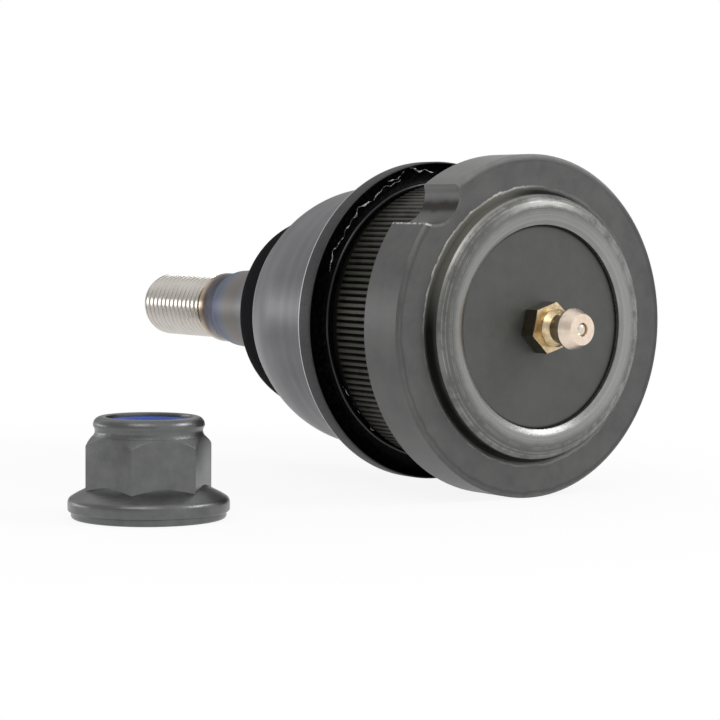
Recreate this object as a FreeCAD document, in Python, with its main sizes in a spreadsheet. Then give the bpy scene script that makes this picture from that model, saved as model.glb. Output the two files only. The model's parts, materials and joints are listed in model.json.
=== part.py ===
import FreeCAD, Part
import math
import os
import re
import Sketcher

# Suspension ball joint with a greased metal socket, lying on its side beside its lock nut.
# The joint's long axis is X, the stud points to -X and the grease fitting to +X, and Z is up.
# The origin is the centre of the ball. All sizes are millimetres and degrees.

doc = FreeCAD.newDocument("suspension_ball_joint")

# Driving sizes

SIZES = {
    # Ball and running fits
    "ball_radius": 12.5,
    "ball_top_flat": 12.0,
    "running_gap": 0.05,
    "swing_angle": 20.0,
    "soft_gap": 0.2,
    # Housing flange
    "flange_radius": 28.0,
    "flange_front": 16.0,
    "flange_thickness": 8.8,
    "flange_chamfer": 0.4,
    "notch_radius": 4.8,
    "notch_depth": 3.1,
    "notch_angle": 134.0,
    # Rolled lip that holds the cover plate
    "lip_radius": 21.5,
    "lip_proud": 3.0,
    "lip_wall_height": 1.6,
    "lip_crest_radius": 18.6,
    "lip_mouth_radius": 16.6,
    "lip_mouth_thickness": 0.7,
    "lip_groove_width": 1.2,
    "lip_groove_depth": 0.35,
    # Serrated barrel, pilot and boot neck
    "barrel_radius": 23.5,
    "barrel_length": 14.2,
    "barrel_chamfer": 0.7,
    "serration_count": 136,
    "serration_depth": 0.5,
    "serration_crest": 0.45,
    "pilot_radius": 22.8,
    "pilot_length": 1.7,
    "neck_radius": 20.0,
    "neck_length": 4.3,
    # Socket
    "socket_radius": 17.05,
    "socket_depth": 8.0,
    "mouth_clearance": 1.0,
    # Cover plate
    "cover_radius": 20.0,
    "cover_thickness": 3.4,
    # Bearings and spring
    "bearing_split": 1.2,
    "bearing_back": 12.4,
    "bearing_edge": 0.6,
    "grease_hole_radius": 3.0,
    "seat_end": 6.8,
    "seat_flare": 0.65,
    "disc_spring_outer": 15.6,
    "disc_spring_inner": 5.6,
    "disc_spring_thickness": 0.9,
    # Stud
    "stud_neck_radius": 7.2,
    "stud_neck_blend_height": 0.5,
    "stud_neck_blend_length": 1.2,
    "stud_neck_end": 15.0,
    "stud_swell_end": 34.0,
    "taper_start": 45.5,
    "taper_length": 22.8,
    "taper_small_radius": 7.25,
    "taper_ratio": 8.0,
    "thread_radius": 6.0,
    "thread_shoulder": 4.5,
    "thread_length": 24.4,
    "thread_end_chamfer": 0.8,
    "centre_hole_radius": 1.6,
    "centre_hole_depth": 1.5,
    # Boot and the ring at its foot
    "rim_thickness": 3.0,
    "rim_edge_chamfer": 0.35,
    "rim_dish": 1.1,
    "rim_land": 1.6,
    "boot_wall": 1.8,
    "boot_clearance": 0.35,
    "boot_foot_flare": 2.0,
    "boot_foot_edge": 0.5,
    "boot_foot_length": 2.8,
    "boot_shoulder": 28.5,
    "boot_end": 37.4,
    "boot_end_radius": 20.1,
    "boot_shoulder_round": 14.6,
    "retainer_height": 0.95,
    "retainer_thickness": 1.2,
    # Collar at the small end of the boot
    "collar_end": 45.0,
    "collar_end_radius": 17.3,
    "collar_bulge": 26.0,
    "collar_gap": 0.3,
    "collar_recess_radius": 13.0,
    "collar_recess_depth": 2.4,
    "garter_wire_radius": 0.9,
    # Grease fitting
    "fitting_hex_width": 7.4,
    "fitting_hex_height": 3.0,
    "fitting_hex_chamfer": 0.12,
    "fitting_angle": 13.0,
    "fitting_shank_radius": 3.0,
    "fitting_shank_reach": 0.6,
    "fitting_boss_radius": 3.1,
    "fitting_boss_length": 1.0,
    "fitting_neck_radius": 2.4,
    "fitting_neck_length": 4.2,
    "fitting_head_radius": 3.35,
    "fitting_head_length": 3.0,
    "fitting_head_land": 0.3,
    "fitting_head_rise": 0.6,
    "fitting_tip_radius": 2.5,
    "fitting_bore_radius": 1.5,
    "fitting_mouth_radius": 1.1,
    "fitting_mouth_length": 0.5,
    "fitting_foot_radius": 0.8,
    "fitting_foot_length": 2.4,
    "check_ball_radius": 1.3,
    "check_spring_wire": 0.2,
    "check_spring_turns": 4,
    # Lock nut
    "nut_along": 2.7,
    "nut_side": 64.8,
    "nut_angle": 13.5,
    "nut_width": 17.0,
    "nut_flange_radius": 12.25,
    "nut_foot_inset": 0.5,
    "nut_foot_height": 1.1,
    "nut_foot_chamfer": 0.5,
    "nut_step_height": 0.25,
    "nut_flange_edge": 1.05,
    "nut_flange_round": 1.0,
    "nut_flange_slope": 26.0,
    "nut_hex_height": 12.5,
    "nut_hex_chamfer": 1.4,
    "nut_height": 15.4,
    "nut_collar_radius": 8.45,
    "nut_collar_waist": 0.3,
    "nut_collar_round": 1.3,
    "nut_bore_radius": 5.35,
    "nut_bore_chamfer": 0.8,
    "nut_lip_radius": 6.5,
    "nut_lip_thickness": 0.6,
    "insert_radius": 7.1,
    "insert_bore_radius": 5.15,
    "insert_chamfer": 0.5,
    "insert_height": 3.0,
}

sheet = doc.addObject("Spreadsheet::Sheet", "sizes")
for row, (word, number) in enumerate(SIZES.items(), start=1):
    sheet.set("A%d" % row, word)
    sheet.set("B%d" % row, str(number))
    sheet.setAlias("B%d" % row, word)
doc.recompute()


def on_sheet(formula):
    """Write a formula of size names as one that reads the sheet."""
    return re.sub(r"\b[a-z]+(_[a-z]+)+\b", lambda name: "sizes." + name.group(0), formula)


def size(formula):
    """The number that a formula of size names gives now."""
    return float(sheet.evalExpression(on_sheet(formula)))


def bind(thing, prop, formula):
    thing.setExpression(prop, on_sheet(formula))


# Places along the axis that several pieces share, worked out from the driving sizes

FLANGE_BACK = "(flange_front - flange_thickness)"
BARREL_END = "(flange_front - flange_thickness - barrel_length)"
PILOT_END = "(flange_front - flange_thickness - barrel_length - pilot_length)"
NECK_END = "(flange_front - flange_thickness - barrel_length - pilot_length - neck_length)"
RIM_BACK = "(flange_front - flange_thickness - barrel_length - pilot_length - rim_thickness)"
LIP_TOP = "(flange_front + lip_proud)"
COVER_FACE = "(flange_front + lip_proud - 2 * lip_mouth_thickness)"
COVER_BACK = "(flange_front + lip_proud - 2 * lip_mouth_thickness - cover_thickness)"
LIP_OUTER_ROUND = ("(((lip_proud - lip_wall_height)^2 + (lip_radius - lip_crest_radius)^2)"
                   " / (2 * (lip_proud - lip_wall_height)))")
LIP_INNER_ROUND = ("((lip_mouth_thickness^2 + (lip_crest_radius - lip_mouth_radius)^2)"
                   " / (2 * lip_mouth_thickness))")
SEAT_RADIUS = "(ball_radius + running_gap)"
BEARING_RADIUS = "(socket_radius - running_gap)"
NECK_BLEND_ROUND = ("((stud_neck_blend_height^2 + stud_neck_blend_length^2)"
                    " / (2 * stud_neck_blend_height))")
SHOULDER_RISE = "(taper_small_radius - thread_radius)"
SHOULDER_ROUND = "((thread_shoulder^2 + %s^2) / (4 * %s))" % (SHOULDER_RISE, SHOULDER_RISE)
SHANK_RADIUS = "(taper_small_radius + taper_length / (2 * taper_ratio))"
TAPER_END = "(taper_start + taper_length)"
THREAD_START = "(taper_start + taper_length + thread_shoulder)"
STUD_END = "(taper_start + taper_length + thread_shoulder + thread_length)"
HEX_FACE = "(flange_front + lip_proud - 2 * lip_mouth_thickness + fitting_hex_height)"
TIP_FACE = ("(flange_front + lip_proud - 2 * lip_mouth_thickness + fitting_hex_height"
            " + fitting_neck_length + fitting_head_length)")
CHECK_BALL_PLACE = ("(%s - fitting_mouth_length - running_gap"
                    " - sqrt(check_ball_radius^2 - fitting_mouth_radius^2))" % TIP_FACE)
BOOT_RADIUS = "(neck_radius + retainer_height + boot_clearance + boot_wall)"
BOOT_FOOT = "(flange_front - flange_thickness - barrel_length - pilot_length - rim_thickness - soft_gap)"
NUT_EDGE_FOOT = "(nut_foot_height + nut_step_height)"
NUT_EDGE_TOP = "(nut_foot_height + nut_step_height + nut_flange_edge)"
NUT_SLOPE_RADIUS = "(nut_flange_radius - nut_flange_round * (1 - sin(nut_flange_slope * 1deg)))"
NUT_SLOPE_FOOT = "(%s + nut_flange_round * cos(nut_flange_slope * 1deg))" % NUT_EDGE_TOP
NUT_SLOPE_TOP = ("(%s + (%s - nut_collar_radius) * tan(nut_flange_slope * 1deg))"
                 % (NUT_SLOPE_FOOT, NUT_SLOPE_RADIUS))
INSERT_FOOT = "(nut_height - nut_lip_thickness - insert_height)"

# Bodies that only cut or bound another one stand this far past it
OVERRUN = "1"


def origin_plane(body, role):
    return next(plane for plane in body.Origin.OriginFeatures if plane.Role == role)


def arc_between(start, end, radius, centre_left):
    """An arc edge from start to end, and which of its ends, 1 or 2, each of them is."""
    chord = end.sub(start)
    half = chord.Length / 2
    left = FreeCAD.Vector(-chord.y, chord.x, 0).normalize()
    rise = math.sqrt(max(radius ** 2 - half ** 2, 0))
    centre = start.add(chord.multiply(0.5)).add(left.multiply(rise if centre_left else -rise))
    first, last = (start, end) if centre_left else (end, start)
    angles = [math.atan2(p.y - centre.y, p.x - centre.x) for p in (first, last)]
    if angles[1] < angles[0]:
        angles[1] += 2 * math.pi
    circle = Part.Circle(centre, FreeCAD.Vector(0, 0, 1), radius)
    return Part.ArcOfCircle(circle, *angles), (1, 2) if centre_left else (2, 1)


def closed_outline(sketch, corners, swap=False):
    """Draw a closed outline whose corners are tied to the sheet.

    A corner is (along, out), or (along, out, radius, side) where an arc with its centre
    on that side leads to the next corner. With swap, along is the sketch's upright axis.
    """
    points = []
    for corner in corners:
        along, out = size(corner[0]), size(corner[1])
        points.append(FreeCAD.Vector(out, along, 0) if swap else FreeCAD.Vector(along, out, 0))
    count = len(corners)
    ends = []
    for index, corner in enumerate(corners):
        start, end = points[index], points[(index + 1) % count]
        if len(corner) == 2:
            sketch.addGeometry(Part.LineSegment(start, end))
            ends.append((1, 2))
        else:
            arc, which = arc_between(start, end, size(corner[2]), corner[3] == "left")
            sketch.addGeometry(arc)
            ends.append(which)
    for index, corner in enumerate(corners):
        following = (index + 1) % count
        sketch.addConstraint(Sketcher.Constraint(
            "Coincident", index, ends[index][1], following, ends[following][0]))
        kinds = ("DistanceY", "DistanceX") if swap else ("DistanceX", "DistanceY")
        axes = (-1, -2) if swap else (-2, -1)
        for formula, kind, axis in zip(corner[:2], kinds, axes):
            number = size(formula)
            if formula == "0":
                sketch.addConstraint(Sketcher.Constraint(
                    "PointOnObject", index, ends[index][0], axis))
                continue
            place = sketch.addConstraint(Sketcher.Constraint(
                kind, -1, 1, index, ends[index][0], number))
            bind(sketch, "Constraints[%d]" % place, formula)
        if len(corner) > 2:
            place = sketch.addConstraint(Sketcher.Constraint("Radius", index, size(corner[2])))
            bind(sketch, "Constraints[%d]" % place, corner[2])


def turned(label, corners, upright=False):
    """A body turned about the long axis, or about Z where it is upright."""
    body = doc.addObject("PartDesign::Body", label)
    body.Label = label
    sketch = body.newObject("Sketcher::SketchObject", label + "_outline")
    sketch.AttachmentSupport = [(origin_plane(body, "XZ_Plane"), "")]
    sketch.MapMode = "FlatFace"
    closed_outline(sketch, corners, swap=upright)
    turn = body.newObject("PartDesign::Revolution", label + "_turn")
    turn.Profile = sketch
    turn.ReferenceAxis = (sketch, ["V_Axis" if upright else "H_Axis"])
    turn.Angle = 360
    body.Tip = turn
    return body


def boolean(kind, label, first, second):
    """Part::Cut, Part::Common or Part::Fuse of two objects."""
    result = doc.addObject(kind, label)
    result.Label = label
    result.Base = first
    result.Tool = second
    return result


SUB_PARTS = []


def keep(piece):
    SUB_PARTS.append(piece)
    return piece


# Housing: a forging turned all over, with the flange, the lip, the barrel and the socket

def serration_section():
    """The face across the barrel: a ring of flat crests with a V groove between each two."""
    crest, root = size("barrel_radius"), size("barrel_radius - serration_depth")
    count = int(size("serration_count"))
    pitch = 2 * math.pi / count
    corners = []
    for index in range(count):
        middle = index * pitch
        half_crest = size("serration_crest") * pitch / 2
        for angle, radius in ((middle - half_crest, crest), (middle + half_crest, crest),
                              (middle + pitch / 2, root)):
            corners.append(FreeCAD.Vector(0, radius * math.cos(angle), radius * math.sin(angle)))
    section = doc.addObject("Part::Feature", "serration_section")
    section.Shape = Part.Face(Part.makePolygon(corners + corners[:1]))
    return section


def mouth_radius(depth):
    """The hole that leaves the stud's neck room to swing, at a depth from the ball's centre."""
    return ("(stud_neck_radius / cos(swing_angle * 1deg)"
            " + %s * tan(swing_angle * 1deg) + mouth_clearance)" % depth)


def build_housing():
    core = turned("housing_core", [
        (FLANGE_BACK, "(flange_radius - flange_chamfer / 2)"),
        ("(flange_front - flange_thickness + flange_chamfer / 2)", "flange_radius"),
        ("(flange_front - flange_chamfer)", "flange_radius"),
        ("flange_front", "(flange_radius - flange_chamfer)"),
        ("flange_front", "(lip_radius + lip_groove_width)"),
        ("(flange_front - lip_groove_depth)", "lip_radius"),
        ("(flange_front + lip_wall_height)", "lip_radius", LIP_OUTER_ROUND, "right"),
        (LIP_TOP, "lip_crest_radius", LIP_INNER_ROUND, "right"),
        ("(flange_front + lip_proud - lip_mouth_thickness)", "lip_mouth_radius"),
        (COVER_FACE, "lip_mouth_radius"),
        (COVER_FACE, "(cover_radius + running_gap)"),
        (COVER_BACK, "(cover_radius + running_gap)"),
        (COVER_BACK, "socket_radius"),
        ("-socket_depth", "socket_radius"),
        ("-socket_depth", mouth_radius("socket_depth")),
        (NECK_END, mouth_radius("(-1 * %s)" % NECK_END)),
        (NECK_END, "neck_radius"),
        (PILOT_END, "neck_radius"),
        (PILOT_END, "(pilot_radius - barrel_chamfer / 2)"),
        ("(flange_front - flange_thickness - barrel_length - pilot_length + barrel_chamfer / 2)",
         "pilot_radius"),
        (BARREL_END, "pilot_radius"),
        (FLANGE_BACK, "pilot_radius"),
    ])
    section = serration_section()
    serrations = doc.addObject("Part::Extrusion", "serrations")
    serrations.Base = section
    serrations.DirMode = "Custom"
    serrations.Dir = FreeCAD.Vector(-1, 0, 0)
    serrations.Solid = True
    bind(serrations, "LengthFwd", "barrel_length")
    bind(serrations, "Placement.Base.x", FLANGE_BACK)
    envelope = turned("barrel_envelope", [
        (FLANGE_BACK, "(socket_radius + neck_radius) / 2"),
        (FLANGE_BACK, "barrel_radius + " + OVERRUN),
        ("(flange_front - flange_thickness - barrel_length + barrel_chamfer)",
         "barrel_radius + " + OVERRUN),
        ("(flange_front - flange_thickness - barrel_length + barrel_chamfer)", "barrel_radius"),
        (BARREL_END, "(barrel_radius - barrel_chamfer)"),
        (BARREL_END, "(socket_radius + neck_radius) / 2"),
    ])
    band = boolean("Part::Common", "serrated_band", serrations, envelope)
    blank = boolean("Part::Fuse", "housing_blank", core, band)
    notch = doc.addObject("Part::Cylinder", "flange_notch")
    bind(notch, "Radius", "notch_radius")
    bind(notch, "Height", "flange_thickness + 2 * " + OVERRUN)
    notch.Placement.Rotation = FreeCAD.Rotation(FreeCAD.Vector(0, 1, 0), 90)
    reach = "(flange_radius - notch_depth + notch_radius)"
    bind(notch, "Placement.Base.x", FLANGE_BACK + " - " + OVERRUN)
    bind(notch, "Placement.Base.y", reach + " * cos(notch_angle * 1deg)")
    bind(notch, "Placement.Base.z", reach + " * sin(notch_angle * 1deg)")
    return keep(boolean("Part::Cut", "housing", blank, notch))


# Cover plate: the disc under the lip, tapped for the grease fitting

def build_cover_plate():
    return keep(turned("cover_plate", [
        (COVER_BACK, "fitting_shank_radius + running_gap"),
        (COVER_BACK, "cover_radius"),
        (COVER_FACE, "cover_radius"),
        (COVER_FACE, "fitting_shank_radius + running_gap"),
    ]))


# Bearings: two hardened rings whose inner faces are the ball's seat

def build_upper_bearing():
    half_split = "(bearing_split / 2)"
    seat_rim = "sqrt(%s^2 - %s^2)" % (SEAT_RADIUS, half_split)
    seat_top = "sqrt(%s^2 - grease_hole_radius^2)" % SEAT_RADIUS
    return keep(turned("upper_bearing", [
        (half_split, BEARING_RADIUS),
        ("bearing_back - bearing_edge", BEARING_RADIUS),
        ("bearing_back", BEARING_RADIUS + " - bearing_edge"),
        ("bearing_back", "grease_hole_radius"),
        (seat_top, "grease_hole_radius", SEAT_RADIUS, "left"),
        (half_split, seat_rim),
    ]))


def build_lower_bearing():
    half_split = "(bearing_split / 2)"
    seat_rim = "sqrt(%s^2 - %s^2)" % (SEAT_RADIUS, half_split)
    seat_mouth = "sqrt(%s^2 - seat_end^2)" % SEAT_RADIUS
    return keep(turned("lower_bearing", [
        ("-" + half_split, seat_rim, SEAT_RADIUS, "left"),
        ("-seat_end", seat_mouth),
        ("-(socket_depth - running_gap)", seat_mouth + " + seat_flare"),
        ("-(socket_depth - running_gap)", BEARING_RADIUS + " - bearing_edge"),
        ("-(socket_depth - running_gap - bearing_edge)", BEARING_RADIUS),
        ("-" + half_split, BEARING_RADIUS),
    ]))


# Preload spring: a coned disc between the upper bearing and the cover plate

def build_preload_spring():
    return keep(turned("preload_spring", [
        ("bearing_back", "disc_spring_outer"),
        (COVER_BACK + " - disc_spring_thickness", "disc_spring_inner"),
        (COVER_BACK, "disc_spring_inner"),
        ("bearing_back + disc_spring_thickness", "disc_spring_outer"),
    ]))


# Ball stud: ball, neck, swell, long taper, shoulder and threaded end, in one turning

def build_ball_stud():
    ball_flat = "sqrt(ball_radius^2 - ball_top_flat^2)"
    neck_join = "sqrt(ball_radius^2 - (stud_neck_radius + stud_neck_blend_height)^2)"
    return keep(turned("ball_stud", [
        ("ball_top_flat", "0"),
        ("ball_top_flat", ball_flat, "ball_radius", "left"),
        ("-" + neck_join, "stud_neck_radius + stud_neck_blend_height", NECK_BLEND_ROUND, "right"),
        ("-(%s + stud_neck_blend_length)" % neck_join, "stud_neck_radius"),
        ("-stud_neck_end", "stud_neck_radius"),
        ("-stud_swell_end", SHANK_RADIUS),
        ("-taper_start", SHANK_RADIUS),
        ("-" + TAPER_END, "taper_small_radius", SHOULDER_ROUND, "left"),
        ("-(%s + thread_shoulder / 2)" % TAPER_END, "(taper_small_radius + thread_radius) / 2",
         SHOULDER_ROUND, "right"),
        ("-" + THREAD_START, "thread_radius"),
        ("-(%s - thread_end_chamfer)" % STUD_END, "thread_radius"),
        ("-" + STUD_END, "thread_radius - thread_end_chamfer"),
        ("-" + STUD_END, "centre_hole_radius"),
        ("-(%s - centre_hole_depth)" % STUD_END, "0"),
    ]))


# Boot rim: the steel ring at the boot's foot, pressed on the neck and dished on its front

def build_boot_rim():
    return keep(turned("boot_rim", [
        (PILOT_END, "flange_radius - rim_edge_chamfer"),
        (PILOT_END + " - rim_edge_chamfer", "flange_radius"),
        (RIM_BACK + " + rim_edge_chamfer", "flange_radius"),
        (RIM_BACK, "flange_radius - rim_edge_chamfer"),
        (RIM_BACK, "neck_radius + running_gap"),
        (PILOT_END, "neck_radius + running_gap"),
        (PILOT_END, "pilot_radius"),
        (PILOT_END + " - rim_dish", "pilot_radius + rim_land"),
        (PILOT_END + " - rim_dish", "flange_radius - rim_land"),
    ]))


# Boot: the rubber dome from the rim to the collar, in one wall

def build_boot():
    inner = "(%s - boot_wall)" % BOOT_RADIUS
    foot_end = "(%s - boot_foot_length)" % BOOT_FOOT
    return keep(turned("boot", [
        (BOOT_FOOT, inner),
        (BOOT_FOOT, BOOT_RADIUS + " + boot_foot_flare"),
        (BOOT_FOOT + " - boot_foot_edge", BOOT_RADIUS + " + boot_foot_flare",
         "boot_foot_length", "right"),
        (foot_end, BOOT_RADIUS),
        ("-boot_shoulder", BOOT_RADIUS, "boot_shoulder_round", "left"),
        ("-(boot_end - collar_gap)", "boot_end_radius"),
        ("-(boot_end - collar_gap)", "boot_end_radius - boot_wall",
         "boot_shoulder_round - boot_wall / 4", "right"),
        ("-boot_shoulder", inner),
    ]))


# Boot retainer: the ring pressed on the neck behind the rim, inside the boot

def build_boot_retainer():
    return keep(turned("boot_retainer", [
        (RIM_BACK, "neck_radius + running_gap"),
        (RIM_BACK, "neck_radius + retainer_height"),
        (RIM_BACK + " - retainer_thickness", "neck_radius + retainer_height"),
        (RIM_BACK + " - retainer_thickness", "neck_radius + running_gap"),
    ]))


# Boot collar: the firm end of the boot, which seals against the stud and turns on it

def build_boot_collar():
    bore = SHANK_RADIUS + " + running_gap"
    return keep(turned("boot_collar", [
        ("-boot_end", bore),
        ("-boot_end", "boot_end_radius", "collar_bulge", "left"),
        ("-collar_end", "collar_end_radius"),
        ("-collar_end", "collar_recess_radius"),
        ("-(collar_end - collar_recess_depth)", "collar_recess_radius"),
        ("-(collar_end - collar_recess_depth)", bore),
    ]))


# Collar garter: the round wire ring that lies in the collar's end recess

def build_collar_garter():
    ring = doc.addObject("Part::Torus", "collar_garter")
    ring.Label = "collar_garter"
    bind(ring, "Radius1", "collar_recess_radius - garter_wire_radius - running_gap")
    bind(ring, "Radius2", "garter_wire_radius")
    ring.Placement.Rotation = FreeCAD.Rotation(FreeCAD.Vector(0, 1, 0), 90)
    bind(ring, "Placement.Base.x",
         "-(collar_end - collar_recess_depth + garter_wire_radius + running_gap)")
    return keep(ring)


# Grease fitting: hexagon, neck and coned head on a drilled shank

def build_grease_fitting():
    head_start = "(%s + fitting_neck_length)" % HEX_FACE
    shank_end = "(%s + fitting_shank_reach)" % COVER_BACK
    mouth_start = "(%s - fitting_mouth_length)" % TIP_FACE
    body = turned("fitting_turning", [
        (shank_end, "fitting_foot_radius"),
        (shank_end, "fitting_shank_radius"),
        (COVER_FACE, "fitting_shank_radius"),
        (COVER_FACE, "fitting_boss_radius"),
        (HEX_FACE + " + fitting_boss_length", "fitting_boss_radius"),
        (HEX_FACE + " + 2 * fitting_boss_length", "fitting_neck_radius"),
        (head_start, "fitting_neck_radius"),
        (head_start + " + fitting_head_rise", "fitting_head_radius"),
        (head_start + " + fitting_head_rise + fitting_head_land", "fitting_head_radius"),
        (TIP_FACE, "fitting_tip_radius"),
        (TIP_FACE, "fitting_mouth_radius"),
        (mouth_start, "fitting_mouth_radius"),
        (mouth_start, "fitting_bore_radius"),
        (shank_end + " + fitting_foot_length", "fitting_bore_radius"),
        (shank_end + " + fitting_foot_length", "fitting_foot_radius"),
    ])
    hexagon = doc.addObject("Part::Prism", "fitting_hexagon")
    hexagon.Polygon = 6
    bind(hexagon, "Circumradius", "fitting_hex_width / (2 * cos(30deg))")
    bind(hexagon, "Height", "fitting_hex_height")
    lying = FreeCAD.Rotation(FreeCAD.Vector(0, 1, 0), 90)
    leaning = FreeCAD.Rotation(FreeCAD.Vector(1, 0, 0), -size("fitting_angle"))
    hexagon.Placement.Rotation = leaning.multiply(lying)
    bind(hexagon, "Placement.Base.x", COVER_FACE)
    chamfered = turned("fitting_hex_envelope", [
        (COVER_FACE, "(fitting_bore_radius + fitting_neck_radius) / 2"),
        (COVER_FACE, "fitting_hex_width"),
        (HEX_FACE + " - fitting_hex_chamfer", "fitting_hex_width"),
        (HEX_FACE + " - fitting_hex_chamfer", "fitting_hex_width / (2 * cos(30deg))"),
        (HEX_FACE, "fitting_hex_width / 2"),
        (HEX_FACE, "(fitting_bore_radius + fitting_neck_radius) / 2"),
    ])
    hex_ring = boolean("Part::Common", "fitting_hex_ring", hexagon, chamfered)
    return keep(boolean("Part::Fuse", "grease_fitting", body, hex_ring))


# Check ball and its coil spring, which close the fitting's mouth from inside

def build_check_ball():
    ball = doc.addObject("Part::Sphere", "grease_check_ball")
    ball.Label = "grease_check_ball"
    bind(ball, "Radius", "check_ball_radius")
    bind(ball, "Placement.Base.x", CHECK_BALL_PLACE)
    return keep(ball)


def build_check_spring():
    wire = size("check_spring_wire")
    foot = size("%s + fitting_shank_reach + fitting_foot_length + check_spring_wire" % COVER_BACK)
    top = size("%s - check_ball_radius - check_spring_wire" % CHECK_BALL_PLACE)
    mean_radius = size("fitting_bore_radius - 2 * check_spring_wire - running_gap")
    length = top - foot
    path = Part.makeHelix(length / size("check_spring_turns"), length, mean_radius)
    section = Part.Wire(Part.makeCircle(wire, FreeCAD.Vector(mean_radius, 0, 0),
                                        FreeCAD.Vector(0, 1, 0)))
    coil = Part.Wire(path.Edges).makePipeShell([section], True, True)
    spring = doc.addObject("Part::Feature", "grease_check_spring")
    spring.Label = "grease_check_spring"
    spring.Shape = coil
    spring.Placement = FreeCAD.Placement(FreeCAD.Vector(foot, 0, 0),
                                         FreeCAD.Rotation(FreeCAD.Vector(0, 1, 0), 90))
    return keep(spring)


# Lock nut: flange, hexagon and the thin collar that is rolled over the nylon ring

def set_beside_joint(piece):
    piece.Placement.Rotation = FreeCAD.Rotation(FreeCAD.Vector(0, 0, 1), size("nut_angle"))
    bind(piece, "Placement.Base.x", "nut_along")
    bind(piece, "Placement.Base.y", "-nut_side")
    bind(piece, "Placement.Base.z", "-flange_radius")
    bind(piece, "Placement.Rotation.Angle", "nut_angle")


def build_lock_nut():
    turning = turned("nut_turning", [
        ("0", "nut_bore_radius + nut_bore_chamfer"),
        ("0", "nut_flange_radius - nut_foot_inset - nut_foot_chamfer"),
        ("nut_foot_chamfer", "nut_flange_radius - nut_foot_inset"),
        ("nut_foot_height", "nut_flange_radius - nut_foot_inset"),
        (NUT_EDGE_FOOT, "nut_flange_radius"),
        (NUT_EDGE_TOP, "nut_flange_radius", "nut_flange_round", "left"),
        (NUT_SLOPE_FOOT, NUT_SLOPE_RADIUS),
        (NUT_SLOPE_TOP, "nut_collar_radius"),
        ("nut_hex_height", "nut_collar_radius"),
        ("(nut_hex_height + nut_height - nut_collar_round) / 2",
         "nut_collar_radius - nut_collar_waist"),
        ("nut_height - nut_collar_round", "nut_collar_radius", "nut_collar_round", "left"),
        ("nut_height", "nut_collar_radius - nut_collar_round"),
        ("nut_height", "nut_lip_radius"),
        ("nut_height - nut_lip_thickness", "nut_lip_radius"),
        ("nut_height - nut_lip_thickness", "insert_radius"),
        (INSERT_FOOT, "insert_radius"),
        (INSERT_FOOT, "nut_bore_radius"),
        ("nut_bore_chamfer", "nut_bore_radius"),
    ], upright=True)
    hexagon = doc.addObject("Part::Prism", "nut_hexagon")
    hexagon.Polygon = 6
    bind(hexagon, "Circumradius", "nut_width / (2 * cos(30deg))")
    bind(hexagon, "Height", "nut_hex_height - nut_foot_height")
    bind(hexagon, "Placement.Base.z", "nut_foot_height")
    shell = turned("nut_hex_envelope", [
        ("nut_foot_height", "(insert_radius + nut_collar_radius) / 2"),
        ("nut_foot_height", "nut_width"),
        ("nut_hex_height - nut_hex_chamfer", "nut_width"),
        ("nut_hex_height - nut_hex_chamfer", "nut_width / (2 * cos(30deg))"),
        ("nut_hex_height", "nut_collar_radius"),
        ("nut_hex_height", "(insert_radius + nut_collar_radius) / 2"),
    ], upright=True)
    hex_ring = boolean("Part::Common", "nut_hex_ring", hexagon, shell)
    nut = boolean("Part::Fuse", "lock_nut", turning, hex_ring)
    set_beside_joint(nut)
    return keep(nut)


def build_nut_insert():
    ring = turned("nut_insert", [
        (INSERT_FOOT, "insert_bore_radius"),
        (INSERT_FOOT, "insert_radius - running_gap"),
        (INSERT_FOOT + " + insert_height", "insert_radius - running_gap"),
        (INSERT_FOOT + " + insert_height", "insert_bore_radius + insert_chamfer"),
        (INSERT_FOOT + " + insert_height - insert_chamfer", "insert_bore_radius"),
    ], upright=True)
    set_beside_joint(ring)
    return keep(ring)


build_housing()
build_cover_plate()
build_upper_bearing()
build_lower_bearing()
build_preload_spring()
build_ball_stud()
build_boot_rim()
build_boot()
build_boot_retainer()
build_boot_collar()
build_collar_garter()
build_grease_fitting()
build_check_ball()
build_check_spring()
build_lock_nut()
build_nut_insert()
doc.recompute()

for thing in doc.Objects:
    if {"Invalid", "Error"} & set(thing.State):
        raise SystemExit("%s failed: %s" % (thing.Name, thing.State))
for piece in SUB_PARTS:
    if piece.Shape.isNull() or not piece.Shape.isValid() or not piece.Shape.Solids:
        raise SystemExit("%s has no valid solid" % piece.Label)

os.makedirs("parts", exist_ok=True)
for piece in SUB_PARTS:
    piece.Shape.exportStep(os.path.join("parts", piece.Label + ".step"))
    print("%s: %.1f mm3, %d solid" % (piece.Label, piece.Shape.Volume, len(piece.Shape.Solids)))
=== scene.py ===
# %% [markdown]
# # A suspension ball joint and its lock nut
# The joint lies on its flange and on the rim of its boot, with the stud pointing away. The nut
# that holds the stud stands beside it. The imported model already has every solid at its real
# size, so this lesson gives the surfaces their finish and adds what the solids leave out:
# the threads, the moulded boot, the wound garter ring and the rubber skin of the rim.

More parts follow.
